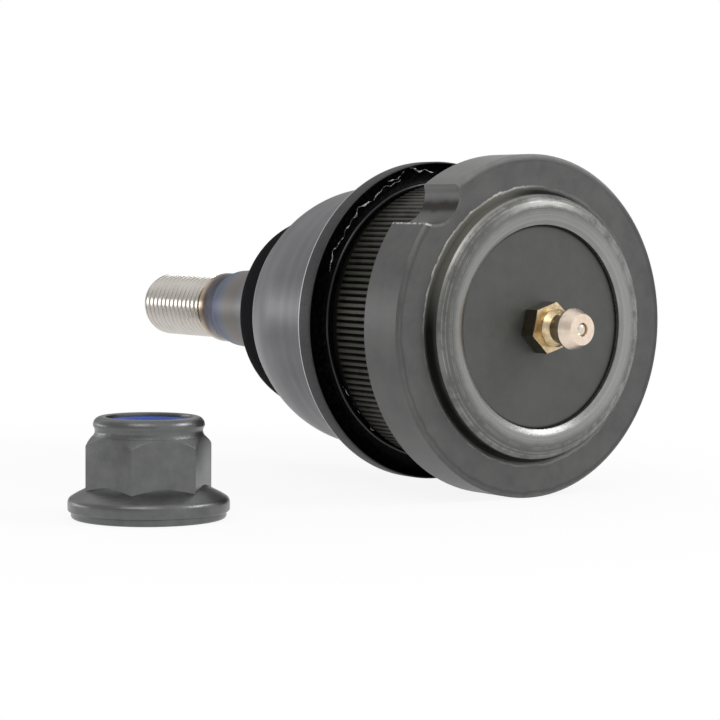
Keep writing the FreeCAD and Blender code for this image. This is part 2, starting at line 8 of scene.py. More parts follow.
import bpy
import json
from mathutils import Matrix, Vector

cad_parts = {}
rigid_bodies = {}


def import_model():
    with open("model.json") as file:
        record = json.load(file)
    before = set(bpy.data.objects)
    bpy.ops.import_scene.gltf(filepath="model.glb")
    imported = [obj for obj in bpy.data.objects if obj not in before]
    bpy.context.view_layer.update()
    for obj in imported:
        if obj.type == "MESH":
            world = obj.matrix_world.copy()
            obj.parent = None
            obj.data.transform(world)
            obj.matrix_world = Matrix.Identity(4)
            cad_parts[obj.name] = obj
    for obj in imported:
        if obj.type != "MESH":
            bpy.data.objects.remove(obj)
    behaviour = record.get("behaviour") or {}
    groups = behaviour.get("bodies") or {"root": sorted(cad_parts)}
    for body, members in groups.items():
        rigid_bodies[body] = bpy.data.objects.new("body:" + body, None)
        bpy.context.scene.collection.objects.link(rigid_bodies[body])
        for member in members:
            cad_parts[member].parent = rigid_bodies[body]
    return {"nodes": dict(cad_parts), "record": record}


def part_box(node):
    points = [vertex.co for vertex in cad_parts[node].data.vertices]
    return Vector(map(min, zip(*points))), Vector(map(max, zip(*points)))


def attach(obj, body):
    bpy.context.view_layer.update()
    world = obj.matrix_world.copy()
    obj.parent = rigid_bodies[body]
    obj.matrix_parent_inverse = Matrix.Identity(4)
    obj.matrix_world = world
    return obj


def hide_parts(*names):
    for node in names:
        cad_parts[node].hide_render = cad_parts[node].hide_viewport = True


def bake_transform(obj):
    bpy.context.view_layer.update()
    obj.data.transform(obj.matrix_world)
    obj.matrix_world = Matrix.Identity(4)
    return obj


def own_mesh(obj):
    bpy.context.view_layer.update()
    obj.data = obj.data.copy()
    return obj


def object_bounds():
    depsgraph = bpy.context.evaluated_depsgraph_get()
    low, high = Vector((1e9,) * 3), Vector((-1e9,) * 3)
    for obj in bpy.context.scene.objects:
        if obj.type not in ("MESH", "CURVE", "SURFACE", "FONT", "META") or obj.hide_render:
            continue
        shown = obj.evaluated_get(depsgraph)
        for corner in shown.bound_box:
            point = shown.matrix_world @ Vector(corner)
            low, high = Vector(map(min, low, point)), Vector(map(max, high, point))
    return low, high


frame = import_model()
cad_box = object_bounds()
print("pieces of the frame:", len(frame["nodes"]))

# %% [markdown]
# ## Units and a clean start
# Blender works in metres here, and a ball joint is drawn in millimetres, so one factor turns
# one into the other. An operator acts on everything that is selected, so each new piece
# starts with nothing selected.

# %% Units and selection
import json
import math
from types import SimpleNamespace

import bpy
from mathutils import Matrix, Vector

MM = 0.001


def select_nothing():
    """Leave edit mode and deselect all, so that the next operator meets only its own piece."""
    if bpy.context.object and bpy.context.object.mode != "OBJECT":
        bpy.ops.object.mode_set(mode="OBJECT")
    bpy.ops.object.select_all(action="DESELECT")


def select_only(piece):
    """Make one piece the selected and active one."""
    select_nothing()
    piece.select_set(True)
    bpy.context.view_layer.objects.active = piece


# %% [markdown]
# ## Turned pieces
# Nearly every piece of a ball joint comes off a lathe. A lathe piece is made here as a
# machinist draws it: half of its section as one outline, swung round the axis. The outline
# grows from a single vertex that is extruded from point to point, and the spin operator
# closes it into a body. A subdivision surface would need holding loops at every sharp
# shoulder, and a turned outline has its sharp shoulders by itself.

# %% A helper for turned pieces
def outline_in_edit_mode(name, points):
    """Extrude one vertex along points given in millimetres, and stay in edit mode."""
    select_nothing()
    bpy.ops.mesh.primitive_plane_add(size=MM, location=[c * MM for c in points[0]])
    piece = bpy.context.object
    piece.name = name
    piece.data.name = name
    bpy.ops.object.mode_set(mode="EDIT")
    bpy.ops.mesh.select_mode(type="VERT")
    bpy.ops.mesh.select_all(action="SELECT")
    bpy.ops.mesh.merge(type="CENTER")
    for here, there in zip(points, points[1:]):
        step = [(b - a) * MM for a, b in zip(here, there)]
        bpy.ops.mesh.extrude_region_move(TRANSFORM_OT_translate={"value": step})
    return piece


def finish_piece(piece, smooth_below=35):
    """Merge doubles, turn the faces outwards, and put the object at the origin."""
    select_only(piece)
    bpy.ops.object.mode_set(mode="EDIT")
    bpy.ops.mesh.select_all(action="SELECT")
    bpy.ops.mesh.remove_doubles(threshold=0.002 * MM)
    bpy.ops.mesh.normals_make_consistent(inside=False)
    bpy.ops.object.mode_set(mode="OBJECT")
    bpy.ops.object.transform_apply(location=True, rotation=True, scale=True)
    bpy.ops.object.shade_smooth_by_angle(angle=math.radians(smooth_below))
    print(piece.name, "has", len(piece.data.polygons), "faces")
    return piece


def turned(name, outline, steps=128, upright_at=None):
    """Swing an outline of (along, radius) round the long axis, or round Z at a place."""
    if upright_at is None:
        points = [(along, 0, radius) for along, radius in outline]
        centre, axis = (0, 0, 0), (1, 0, 0)
    else:
        x, y, z = upright_at
        points = [(x + radius, y, z + along) for along, radius in outline]
        centre, axis = (x * MM, y * MM, z * MM), (0, 0, 1)
    piece = outline_in_edit_mode(name, points)
    bpy.ops.mesh.select_all(action="SELECT")
    bpy.ops.mesh.spin(steps=steps, angle=math.tau, center=centre, axis=axis)
    return finish_piece(piece)


# %% [markdown]
# ## Round stretches
# The ball, the fillets and the rolled edges are arcs in the outline. An arc is worked out
# from its centre, its radius and its two angles, so it stays round however many steps it
# gets.

# %% Arcs for outlines
def arc(centre_along, centre_radius, radius, start, end, steps=8):
    """Points of an arc in an outline. Angles are in degrees from +along towards +radius."""
    turns = [math.radians(start + (end - start) * k / steps) for k in range(steps + 1)]
    return [(centre_along + radius * math.cos(t), centre_radius + radius * math.sin(t))
            for t in turns]


# %% [markdown]
# ## Threads
# A screw thread is one small V, swept round the axis while it moves along by its pitch.
# The Screw modifier does just that. The ends of the sweep are cut flat with a bisect that
# fills the cut, which makes a closed threaded rod. It becomes the end of the stud, and a
# second one is the tap that cuts the nut.

# %% A helper for threaded rods
THREAD_PITCH = 1.5
THREAD_STEPS = 64
ROOT_FLAT = 0.1
CREST_FLAT = 0.78


def threaded_rod(name, low, high, root, crest):
    """A closed rod with a right-hand thread round X, from low to high along X."""
    flank = (THREAD_PITCH - ROOT_FLAT - CREST_FLAT) / 2
    start = low - 2 * THREAD_PITCH
    rise = start + ROOT_FLAT + flank
    v_shape = [(start, 0, root), (start + ROOT_FLAT, 0, root), (rise, 0, crest),
               (rise + CREST_FLAT, 0, crest), (start + THREAD_PITCH, 0, root)]
    rod = outline_in_edit_mode(name, v_shape)
    select_only(rod)
    bpy.ops.object.transform_apply(location=True)
    sweep = rod.modifiers.new("sweep", "SCREW")
    sweep.axis = "X"
    sweep.screw_offset = THREAD_PITCH * MM
    sweep.iterations = int((high - low) / THREAD_PITCH) + 5
    sweep.steps = THREAD_STEPS
    sweep.render_steps = THREAD_STEPS
    bpy.ops.object.modifier_apply(modifier="sweep")
    bpy.ops.object.mode_set(mode="EDIT")
    for place, towards in ((low, -1), (high, 1)):
        bpy.ops.mesh.select_all(action="SELECT")
        bpy.ops.mesh.remove_doubles(threshold=0.002 * MM)
        bpy.ops.mesh.bisect(plane_co=(place * MM, 0, 0), plane_no=(towards, 0, 0),
                            use_fill=True, clear_outer=True)
    return finish_piece(rod, 20)


def boolean(piece, tool, operation):
    """Join, cut or intersect piece with tool, and remove the tool."""
    select_only(piece)
    step = piece.modifiers.new("shape", "BOOLEAN")
    step.operation = operation
    step.solver = "EXACT"
    step.object = tool
    bpy.ops.object.modifier_apply(modifier="shape")
    bpy.data.objects.remove(tool)
    return piece


# %% [markdown]
# ## The ball stud
# The stud is one turning: the ball, a neck, the long taper that seats in the knuckle, a
# rounded shoulder and the thread. The shank is an outline with an arc for the ball and an
# S of two arcs for the shoulder. The thread is a threaded rod, rounded off at its tip by
# an envelope, and it runs a little way into the shoulder so that no gap shows. It could be
# painted on as a bump, but then its crests would be missing from the stud's outline.

# %% Sizes of the stud
BALL_RADIUS = 12.5
BALL_FLAT = 12.0
NECK_RADIUS = 7.2
NECK_RISE = 0.3
NECK_START = -11.0
NECK_END = -15.0
SHANK_START = -34.0
SHANK_END = -45.5
SHANK_RADIUS = 8.675
TAPER_SMALL_RADIUS = 7.25
THREAD_RADIUS = 5.98
THREAD_ROOT = 5.35
TAPER_END = -68.3
THREAD_START = -72.8
STUD_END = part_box("ball_stud")[0].x / MM
print("stud ends at", round(STUD_END, 2), "mm")

# %% Shank of the stud
ball_flat_angle = math.degrees(math.acos(BALL_FLAT / BALL_RADIUS))
ball_neck_angle = 180 - math.degrees(math.asin((NECK_RADIUS + NECK_RISE) / BALL_RADIUS))
shoulder_rise = TAPER_SMALL_RADIUS - THREAD_RADIUS
shoulder_run = TAPER_END - THREAD_START
shoulder_round = (shoulder_run ** 2 + shoulder_rise ** 2) / (4 * shoulder_rise)
shoulder_turn = math.degrees(math.asin(shoulder_run / (2 * shoulder_round)))
shank_outline = (
    [(BALL_FLAT, 0)]
    + arc(0, 0, BALL_RADIUS, ball_flat_angle, ball_neck_angle, 40)
    + [(NECK_START, NECK_RADIUS), (NECK_END, NECK_RADIUS), (SHANK_START, SHANK_RADIUS),
       (SHANK_END, SHANK_RADIUS)]
    + arc(TAPER_END, TAPER_SMALL_RADIUS - shoulder_round, shoulder_round, 90, 90 + shoulder_turn, 8)
    + arc(THREAD_START, THREAD_RADIUS + shoulder_round, shoulder_round, 270 - shoulder_turn, 270, 8)
    + [(THREAD_START - 0.4, THREAD_RADIUS - 0.1), (THREAD_START - 1.0, THREAD_ROOT),
       (THREAD_START - 1.0, 0)])
stud_shank = turned("stud_shank", shank_outline, 128)

# %% Thread of the stud
# The rod starts past the tip. Two end faces in one plane would leave the cut open.
stud_thread = threaded_rod("stud_thread", STUD_END - 2, THREAD_START + 0.8, THREAD_ROOT, THREAD_RADIUS)
tip_envelope = turned("tip_envelope", [
    (THREAD_START + 2, 0), (THREAD_START + 2, THREAD_RADIUS + 1),
    (STUD_END + 1.6, THREAD_RADIUS + 1), (STUD_END + 1.6, THREAD_RADIUS),
    (STUD_END + 0.55, THREAD_RADIUS - 0.35), (STUD_END + 0.12, THREAD_RADIUS - 0.95),
    (STUD_END, THREAD_RADIUS - 1.35), (STUD_END, 1.6), (STUD_END + 1.5, 0)], 96)
boolean(stud_thread, tip_envelope, "INTERSECT")
finish_piece(stud_thread, 25)

# %% [markdown]
# ## The boot
# The dome is a thin rubber bell. Its foot flares out where it is clamped against the rim,
# its side has faint ripples left by the mould, and its small end rolls over to meet the
# collar. It bends when the stud swings, so its outline has many short steps, on the inside as on the outside.
# Its curve is an arc through the shoulder and the small end, which a formula gives, so the two walls stay the
# same distance apart.

# %% Sizes of the boot
RIM_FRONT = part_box("boot_rim")[1].x / MM
RIM_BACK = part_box("boot_rim")[0].x / MM - 0.6
BOOT_RADIUS = 22.85
BOOT_WALL = 1.8
BOOT_SHOULDER = -27.0
BOOT_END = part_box("boot")[0].x / MM - 0.85
BOOT_END_RADIUS = 18.75
SHOULDER_ROUND = 21.4
FOOT_BACK = RIM_BACK - 0.2
FOOT_FRONT = -14.7
FOOT_ROUND = 2.2
END_ROUND = 0.9
RIPPLE_HEIGHT = 0.05
DOME_STEPS = 44


def boot_line(along):
    """Outer radius of the dome at a place along the axis, without its foot and its rolled end."""
    if along > BOOT_SHOULDER:
        return BOOT_RADIUS
    chord = Vector((BOOT_END - BOOT_SHOULDER, BOOT_END_RADIUS - BOOT_RADIUS))
    middle = Vector((BOOT_SHOULDER, BOOT_RADIUS)) + chord / 2
    rise = math.sqrt(SHOULDER_ROUND ** 2 - (chord.length / 2) ** 2)
    centre = middle + Vector((-chord.y, chord.x)).normalized() * rise
    return centre.y + math.sqrt(SHOULDER_ROUND ** 2 - (along - centre.x) ** 2)


# %% The dome
roll_start = BOOT_END + END_ROUND
outer_wall = []
for step in range(DOME_STEPS + 1):
    along = FOOT_FRONT + (roll_start - FOOT_FRONT) * step / DOME_STEPS
    ripple = RIPPLE_HEIGHT * math.sin(along * 2.4) * max(0, 1 - 2 * step / DOME_STEPS)
    outer_wall.append((along, boot_line(along) + ripple))
rolled_end = arc(roll_start, boot_line(roll_start) - END_ROUND, END_ROUND, 100, 180, 5)
inner_wall = [(along, radius - BOOT_WALL) for along, radius in reversed(outer_wall[2:])]
foot = arc(FOOT_FRONT, BOOT_RADIUS + FOOT_ROUND, FOOT_ROUND, 335, 270, 6)
boot_dome = turned("boot_dome", [(FOOT_BACK, BOOT_RADIUS + 2.0)] + foot + outer_wall[1:]
                   + rolled_end[1:] + [(BOOT_END, BOOT_END_RADIUS - BOOT_WALL)] + inner_wall
                   + [(FOOT_BACK, BOOT_RADIUS - BOOT_WALL), (FOOT_BACK, BOOT_RADIUS + 2.0)], 144)

# %% [markdown]
# ## The collar and its garter ring
# The black collar is the firm mouth of the boot. A garter ring, a steel spring wound into a
# circle, lies in its end and keeps it tight on the stud. The garter is one small turn of
# wire, copied round the circle with a slight lean. A true coil would look the same at this
# size and be harder to close.

# %% The collar
COLLAR_FRONT = BOOT_END + 0.3
COLLAR_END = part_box("boot_collar")[0].x / MM
COLLAR_END_RADIUS = 17.05
STUD_SEAL_RADIUS = SHANK_RADIUS + 0.06
collar_side = [(COLLAR_FRONT - 0.5, BOOT_END_RADIUS - 0.3), (-39.4, 18.3), (-41.2, 18.04),
               (-43.0, 17.65), (-44.3, 17.25)]
boot_collar = turned("collar_mouth", (
    [(COLLAR_FRONT, STUD_SEAL_RADIUS), (COLLAR_FRONT, BOOT_END_RADIUS - 0.8),
     (COLLAR_FRONT - 0.15, BOOT_END_RADIUS - 0.45)] + collar_side
    + arc(COLLAR_END + 0.55, COLLAR_END_RADIUS - 0.45, 0.55, 90, 180, 4)
    + [(COLLAR_END, 13.6)] + arc(COLLAR_END + 0.4, 13.4, 0.4, 180, 270, 3)
    + [(COLLAR_END + 2.4, 13.0), (COLLAR_END + 2.4, 10.4), (COLLAR_END + 0.7, 9.6),
       (COLLAR_END + 0.45, 9.1), (COLLAR_END + 0.7, STUD_SEAL_RADIUS),
       (COLLAR_END + 2.0, STUD_SEAL_RADIUS + 0.35), (COLLAR_END + 3.4, STUD_SEAL_RADIUS),
       (COLLAR_FRONT, STUD_SEAL_RADIUS)]), 128)

# %% The garter ring
GARTER_TURNS = 84
GARTER_WIRE = 0.21
GARTER_LEAN = 14
garter_low, garter_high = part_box("collar_garter")
garter_place = (garter_low.x + garter_high.x) / 2
garter_tube = (garter_high.x - garter_low.x) / 2
garter_radius = garter_high.z - garter_tube
select_nothing()
for turn in range(GARTER_TURNS):
    angle = math.tau * turn / GARTER_TURNS
    centre = Matrix.Rotation(angle, 4, "X") @ Vector((garter_place, 0, garter_radius))
    lean = Matrix.Rotation(angle, 4, "X") @ Matrix.Rotation(math.radians(90 + GARTER_LEAN), 4, "X")
    bpy.ops.mesh.primitive_torus_add(
        major_segments=14, minor_segments=6, major_radius=garter_tube - GARTER_WIRE * MM,
        minor_radius=GARTER_WIRE * MM, location=centre, rotation=lean.to_euler())
    bpy.context.object.name = "garter_turn_%d" % turn
for turn in range(GARTER_TURNS):
    bpy.data.objects["garter_turn_%d" % turn].select_set(True)
bpy.ops.object.join()
garter = bpy.context.object
garter.name = "garter_ring"
finish_piece(garter, 60)

# %% [markdown]
# ## The check valve's spring
# The little coil behind the check ball shortens when a grease gun pushes the ball in. It is
# a ring of wire swept along a screw, open at both ends at first, and then the two holes are
# filled.

# %% The check spring
SPRING_WIRE = 0.2
SPRING_TURNS = 4
spring_low, spring_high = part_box("grease_check_spring")
spring_mean = spring_high.z / MM - SPRING_WIRE
spring_start = spring_low.x / MM + SPRING_WIRE
spring_length = spring_high.x / MM - SPRING_WIRE - spring_start
select_nothing()
bpy.ops.mesh.primitive_circle_add(vertices=12, radius=SPRING_WIRE * MM,
                                  location=(spring_start * MM, spring_mean * MM, 0))
check_spring = bpy.context.object
check_spring.name = "check_spring_coil"
bpy.ops.object.transform_apply(location=True)
coil = check_spring.modifiers.new("coil", "SCREW")
coil.axis = "X"
coil.screw_offset = spring_length / SPRING_TURNS * MM
coil.iterations = SPRING_TURNS
coil.steps = coil.render_steps = 40
bpy.ops.object.modifier_apply(modifier="coil")
bpy.ops.object.mode_set(mode="EDIT")
bpy.ops.mesh.select_all(action="SELECT")
bpy.ops.mesh.fill_holes(sides=0)
finish_piece(check_spring, 60)
print("check spring is", round(spring_length + 2 * SPRING_WIRE, 2), "mm long")

# %% [markdown]
# ## The rim and its rubber skin
# The rim is a steel ring in a rubber skin, a little smaller than the flange and dished on
# its front. It is turned, with soft edges where the skin goes round the corners.

# %% The rim
RIM_RADIUS = 27.15
RIM_BORE = 20.1
RIM_DISH = 1.1
RIM_EDGE_FRONT = RIM_FRONT - 0.25
rim_body = turned("rim_body", (
    arc(RIM_EDGE_FRONT - 0.3, RIM_RADIUS - 0.3, 0.3, 0, 90, 4)
    + arc(RIM_BACK + 0.35, RIM_RADIUS - 0.35, 0.35, 90, 180, 5)
    + [(RIM_BACK, RIM_BORE), (RIM_FRONT, RIM_BORE), (RIM_FRONT, 22.8), (RIM_FRONT - 0.6, 23.1),
       (RIM_FRONT - RIM_DISH, 23.9), (RIM_FRONT - RIM_DISH, RIM_RADIUS - 1.3),
       (RIM_EDGE_FRONT - 0.4, RIM_RADIUS - 0.6), (RIM_EDGE_FRONT, RIM_RADIUS - 0.3)]), 160)

# %% [markdown]
# ## Lip of the skin
# A lip of the rim's black rubber hugs the housing. It is a torus, pushed about by a cloud
# texture in a Displace modifier, because moulded rubber is never quite true.

# %% Lip of the skin
def ring_of_rubber(name, place, radius, thickness, wobble, size):
    """A rubber ring round the long axis, pushed about by clouds of a size, in millimetres."""
    select_nothing()
    bpy.ops.mesh.primitive_torus_add(
        major_segments=360, minor_segments=12, major_radius=radius * MM,
        minor_radius=thickness * MM, location=(place * MM, 0, 0), rotation=(0, math.pi / 2, 0))
    ring = bpy.context.object
    ring.name = name
    bpy.ops.object.transform_apply(location=True, rotation=True)
    clouds = bpy.data.textures.new(name + "_clouds", "CLOUDS")
    clouds.noise_scale = size * MM
    clouds.noise_depth = 2
    clouds.cloud_type = "COLOR"
    push = ring.modifiers.new("push", "DISPLACE")
    push.texture = clouds
    push.texture_coords = "LOCAL"
    push.direction = "RGB_TO_XYZ"
    push.mid_level = 0.5
    push.strength = wobble * MM
    bpy.ops.object.modifier_apply(modifier="push")
    bpy.data.textures.remove(clouds)
    return finish_piece(ring, 60)


rim_lip = ring_of_rubber("rim_lip", place=-9.1, radius=23.35, thickness=0.4, wobble=0.25, size=9)

# %% [markdown]
# ## Flash on the rim
# Rubber that squeezed out of the mould has left crooked threads. They are pale in patches, and that pale
# colour is a painted highlight where light glints on them.
# Each thread is a curve with a round bevel. Its points are found by casting rays at the rim's front, so it
# lies on the dished face wherever it wanders, and its bevel grows and shrinks, so that the thread breaks up
# as the real one does.

# %% Threads of flash
def flash_thread(name, stations, thickness, points=90):
    """A crooked thread on the rim through stations of (angle in degrees, radius in mm)."""
    select_nothing()
    bpy.ops.curve.primitive_nurbs_path_add()
    thread = bpy.context.object
    thread.name = name
    thread.data.name = name
    spline = thread.data.splines[0]
    spline.points.add(points - len(spline.points))
    legs = len(stations) - 1
    for index, point in enumerate(spline.points):
        share = index / (points - 1)
        leg = min(int(share * legs), legs - 1)
        (angle, radius), (next_angle, next_radius) = stations[leg], stations[leg + 1]
        part = share * legs - leg
        angle += (next_angle - angle) * part
        radius += (next_radius - radius) * part
        radius += 0.2 * math.sin(0.55 * angle) + 0.13 * math.sin(1.25 * angle + 1)
        turn = math.radians(angle)
        start = Vector((0, radius * math.cos(turn), radius * math.sin(turn))) * MM
        hit, place, normal, face = rim_body.ray_cast(start, (-1, 0, 0))
        point.co = (*place, 1)
        point.radius = max(0.1, math.sin(math.pi * share) ** 0.4 * (
            0.5 + 0.35 * math.sin(0.9 * angle) + 0.3 * math.sin(2.3 * angle + 2)))
    spline.order_u = 3
    spline.use_endpoint_u = True
    thread.data.bevel_depth = thickness * MM
    thread.data.bevel_resolution = 2
    thread.data.use_fill_caps = True
    bpy.ops.object.convert(target="MESH")
    return finish_piece(thread, 60)


FLASH = (
    ("flash_main", [(159, 24.3), (150, 24.6), (140, 24.4), (131, 25.3), (127, 24.6), (116, 25.1),
                    (108, 25.2)], 0.2),
    ("flash_top", [(104, 26.9), (99, 26.0), (91, 25.1)], 0.2),
    ("flash_short", [(114, 26.1), (110, 25.6), (106, 26.1)], 0.16),
    ("flash_low", [(207, 22.7), (222, 22.4), (236, 22.7)], 0.1),
)
flash = [flash_thread(*thread) for thread in FLASH]

# %% [markdown]
# ## The lock nut
# The nut is forged: a cone-shaped flange, a hexagon whose corners are turned off at the top
# and a thin collar rolled over the blue nylon ring. The hexagon is a cylinder with six
# sides, cut by a cone so that its corners end in the curved edges of a real nut, and joined
# to a turned blank. Then the tap cuts the thread.

# %% Sizes of the nut
NUT_PLACE = (2.7, -64.8, -28.0)
NUT_ANGLE = 13.5
HEXAGON_MIDDLE = 7.0
HEXAGON_HEIGHT = 11.4
HEXAGON_SOFTNESS = 0.22
NUT_WIDTH = 17.0
NUT_CORNER = NUT_WIDTH / 2 / math.cos(math.pi / 6)
NUT_HEIGHT = (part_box("lock_nut")[1].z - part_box("lock_nut")[0].z) / MM
NUT_FLANGE = 12.25
NUT_COLLAR = 8.45
NUT_BORE = 5.35
NUT_RING_OUTER = 7.1
NUT_RING_FOOT = NUT_HEIGHT - 3.6
print("nut is", round(NUT_HEIGHT, 2), "mm tall")

# %% The blank of the nut
nut = turned("nut_body", (
    [(0, 0), (0, 11.25)] + arc(0.5, 11.25, 0.5, 180, 90, 4) + [(1.02, 11.72)]
    + arc(1.4, 11.95, 0.3, 180, 90, 3) + arc(2.4, NUT_FLANGE - 1.0, 1.0, 90, 26, 6)
    + [(3.75, 10.95), (4.3, 9.85), (4.75, 8.95), (5.2, NUT_COLLAR), (12.3, NUT_COLLAR),
       (12.6, NUT_COLLAR - 0.1), (12.95, NUT_COLLAR - 0.25), (13.3, NUT_COLLAR - 0.3),
       (13.65, NUT_COLLAR - 0.22), (13.9, NUT_COLLAR - 0.06)]
    + arc(NUT_HEIGHT - 1.3, NUT_COLLAR - 1.3, 1.3, 90, 0, 8) + [(NUT_HEIGHT - 0.02, 6.75)]
    + arc(NUT_HEIGHT - 0.27, 6.75, 0.25, 0, -90, 3) + [(NUT_HEIGHT - 0.6, 6.5),
     (NUT_HEIGHT - 0.6, NUT_RING_OUTER), (NUT_RING_FOOT, NUT_RING_OUTER), (NUT_RING_FOOT, 0)]),
    96, NUT_PLACE)

# %% The hexagon
select_nothing()
hexagon_place = [NUT_PLACE[0] * MM, NUT_PLACE[1] * MM, (NUT_PLACE[2] + HEXAGON_MIDDLE) * MM]
bpy.ops.mesh.primitive_cylinder_add(
    vertices=6, radius=NUT_CORNER * MM, depth=HEXAGON_HEIGHT * MM, location=hexagon_place,
    rotation=(0, 0, math.radians(NUT_ANGLE - 30)))
hexagon = bpy.context.object
hexagon.name = "hexagon"
finish_piece(hexagon)
corner = max(hexagon.data.vertices, key=lambda v: v.co.x)
print("hexagon corner at", round(math.degrees(math.atan2(
    corner.co.y - hexagon_place[1], corner.co.x - hexagon_place[0])), 1), "degrees")
corner_cutter = turned("corner_cutter", [
    (1.0, 0), (1.0, NUT_WIDTH), (11.05, NUT_WIDTH), (11.05, NUT_CORNER + 0.05),
    (11.6, NUT_CORNER - 0.48), (12.1, NUT_CORNER - 0.98), (12.5, NUT_COLLAR), (12.55, 0)],
    96, NUT_PLACE)
boolean(hexagon, corner_cutter, "INTERSECT")
select_only(hexagon)
soften = hexagon.modifiers.new("soften", "BEVEL")
soften.width = HEXAGON_SOFTNESS * MM
soften.segments = 3
soften.limit_method = "ANGLE"
soften.angle_limit = math.radians(38)
bpy.ops.object.modifier_apply(modifier="soften")
boolean(nut, hexagon, "UNION")

# %% The thread of the nut
tap = threaded_rod("tap", -1.0, NUT_HEIGHT + 1, NUT_BORE, 6.1)
tap.data.transform(Matrix.Translation([c * MM for c in NUT_PLACE])
                   @ Matrix.Rotation(math.radians(-90), 4, "Y"))
boolean(nut, tap, "DIFFERENCE")
finish_piece(nut, 28)

# %% [markdown]
# ## Materials: helpers
# Each finish is a node tree that reads Object coordinates, which are metres from the ball's
# centre. Two numbers do most of the work on turned pieces: the place along the axis, and
# the distance from the axis. Fine noise that changes only with those two looks like the
# marks of a lathe tool, because the marks run round the piece. A mark or a stain is a share
# from 0 to 1 with a colour of its own, and such coats are laid over one another.

# %% Node helpers
def node(tree, kind, feeds=None, **settings):
    """Add a node with its settings, and give its inputs numbers or other nodes' outputs."""
    made = tree.nodes.new("ShaderNode" + kind)
    for key, value in settings.items():
        setattr(made, key, value)
    for socket, value in (feeds or {}).items():
        if isinstance(value, bpy.types.NodeSocket):
            tree.links.new(value, made.inputs[socket])
        else:
            made.inputs[socket].default_value = value
    return made


def maths(tree, operation, first, second):
    """One step of arithmetic."""
    return node(tree, "Math", {0: first, 1: second}, operation=operation).outputs[0]


def times(tree, first, *others):
    """Patterns or numbers multiplied, so the result is 1 only where each of them is 1."""
    for other in others:
        first = maths(tree, "MULTIPLY", first, other)
    return first


def new_finish(name, metallic, roughness):
    """A material with its shader set, and the Object coordinates that its patterns read."""
    material = bpy.data.materials.new(name)
    material.use_nodes = True
    tree = material.node_tree
    shader = tree.nodes["Principled BSDF"]
    shader.inputs["Metallic"].default_value = metallic
    shader.inputs["Roughness"].default_value = roughness
    place = node(tree, "TexCoord").outputs["Object"]
    print("finish:", name)
    return material, tree, shader, place


# %% Places on a piece
def across_axis(tree, place):
    """The place with its part along the long axis taken away."""
    return node(tree, "VectorMath", {0: place, 1: (0, 1, 1)}, operation="MULTIPLY").outputs[0]


def along_and_radius(tree, place):
    """The place along the long axis and the distance from it, in metres."""
    along = node(tree, "SeparateXYZ", {0: place}).outputs["X"]
    radius = node(tree, "VectorMath", {0: across_axis(tree, place)}, operation="LENGTH")
    return along, radius.outputs["Value"]


def step_between(tree, pattern, low, high):
    """A smooth step of a pattern, from 0 at low to 1 at high."""
    return node(tree, "MapRange", {"Value": pattern, "From Min": low, "From Max": high},
                interpolation_type="SMOOTHSTEP").outputs["Result"]


def past(tree, length, start, end):
    """A smooth step of a length, from 0 at start to 1 at end, both in millimetres."""
    return step_between(tree, length, start * MM, end * MM)


def stripe(tree, length, low, high, soft):
    """1 where a length is between low and high, with soft edges, all in millimetres."""
    return times(tree, past(tree, length, low - soft, low + soft),
                 past(tree, length, high + soft, high - soft))


# %% Patterns
def noise(tree, place, per_metre, detail=4, rough=0.55):
    """Cloudy noise with so many clouds to a metre."""
    return node(tree, "TexNoise", {"Vector": place, "Scale": per_metre, "Detail": detail,
                                   "Roughness": rough}).outputs["Fac"]


def lathe_marks(tree, along, radius, per_metre):
    """Fine rings that follow the piece round, as a lathe tool leaves them."""
    rings = node(tree, "CombineXYZ", {"X": along, "Y": radius, "Z": 0.0}).outputs[0]
    return noise(tree, rings, per_metre, 3, 0.7)


def vary(tree, pattern, low, high):
    """Stretch a 0 to 1 pattern over a range, such as a roughness."""
    return node(tree, "MapRange", {"Value": pattern, "To Min": low, "To Max": high}).outputs[0]


def unruly(tree, length, pattern, spread):
    """A length pushed about by a pattern, by a spread in millimetres, so that no edge is ruled."""
    push = times(tree, maths(tree, "SUBTRACT", pattern, 0.5), spread * MM)
    return maths(tree, "ADD", length, push)


# %% Colour and relief
def blend_colour(tree, share, first, second):
    """Two colours mixed by a share."""
    first, second = (c if isinstance(c, bpy.types.NodeSocket) else (*c, 1) for c in (first, second))
    return node(tree, "Mix", {0: share, 6: first, 7: second}, data_type="RGBA").outputs[2]


def lay_over(tree, colour, coats):
    """Coats of (share, colour) laid over a colour, one after another."""
    for share, coat in coats:
        colour = blend_colour(tree, share, colour, coat)
    return colour


def feed(tree, shader, colour, roughness):
    """Give the shader its colour and its roughness."""
    tree.links.new(colour, shader.inputs["Base Color"])
    tree.links.new(roughness, shader.inputs["Roughness"])


def bump(tree, shader, height, depth_mm):
    """Raise the surface by a height pattern, by a depth in millimetres."""
    relief = node(tree, "Bump", {"Height": height, "Distance": depth_mm * MM, "Strength": 1.0})
    tree.links.new(relief.outputs[0], shader.inputs["Normal"])
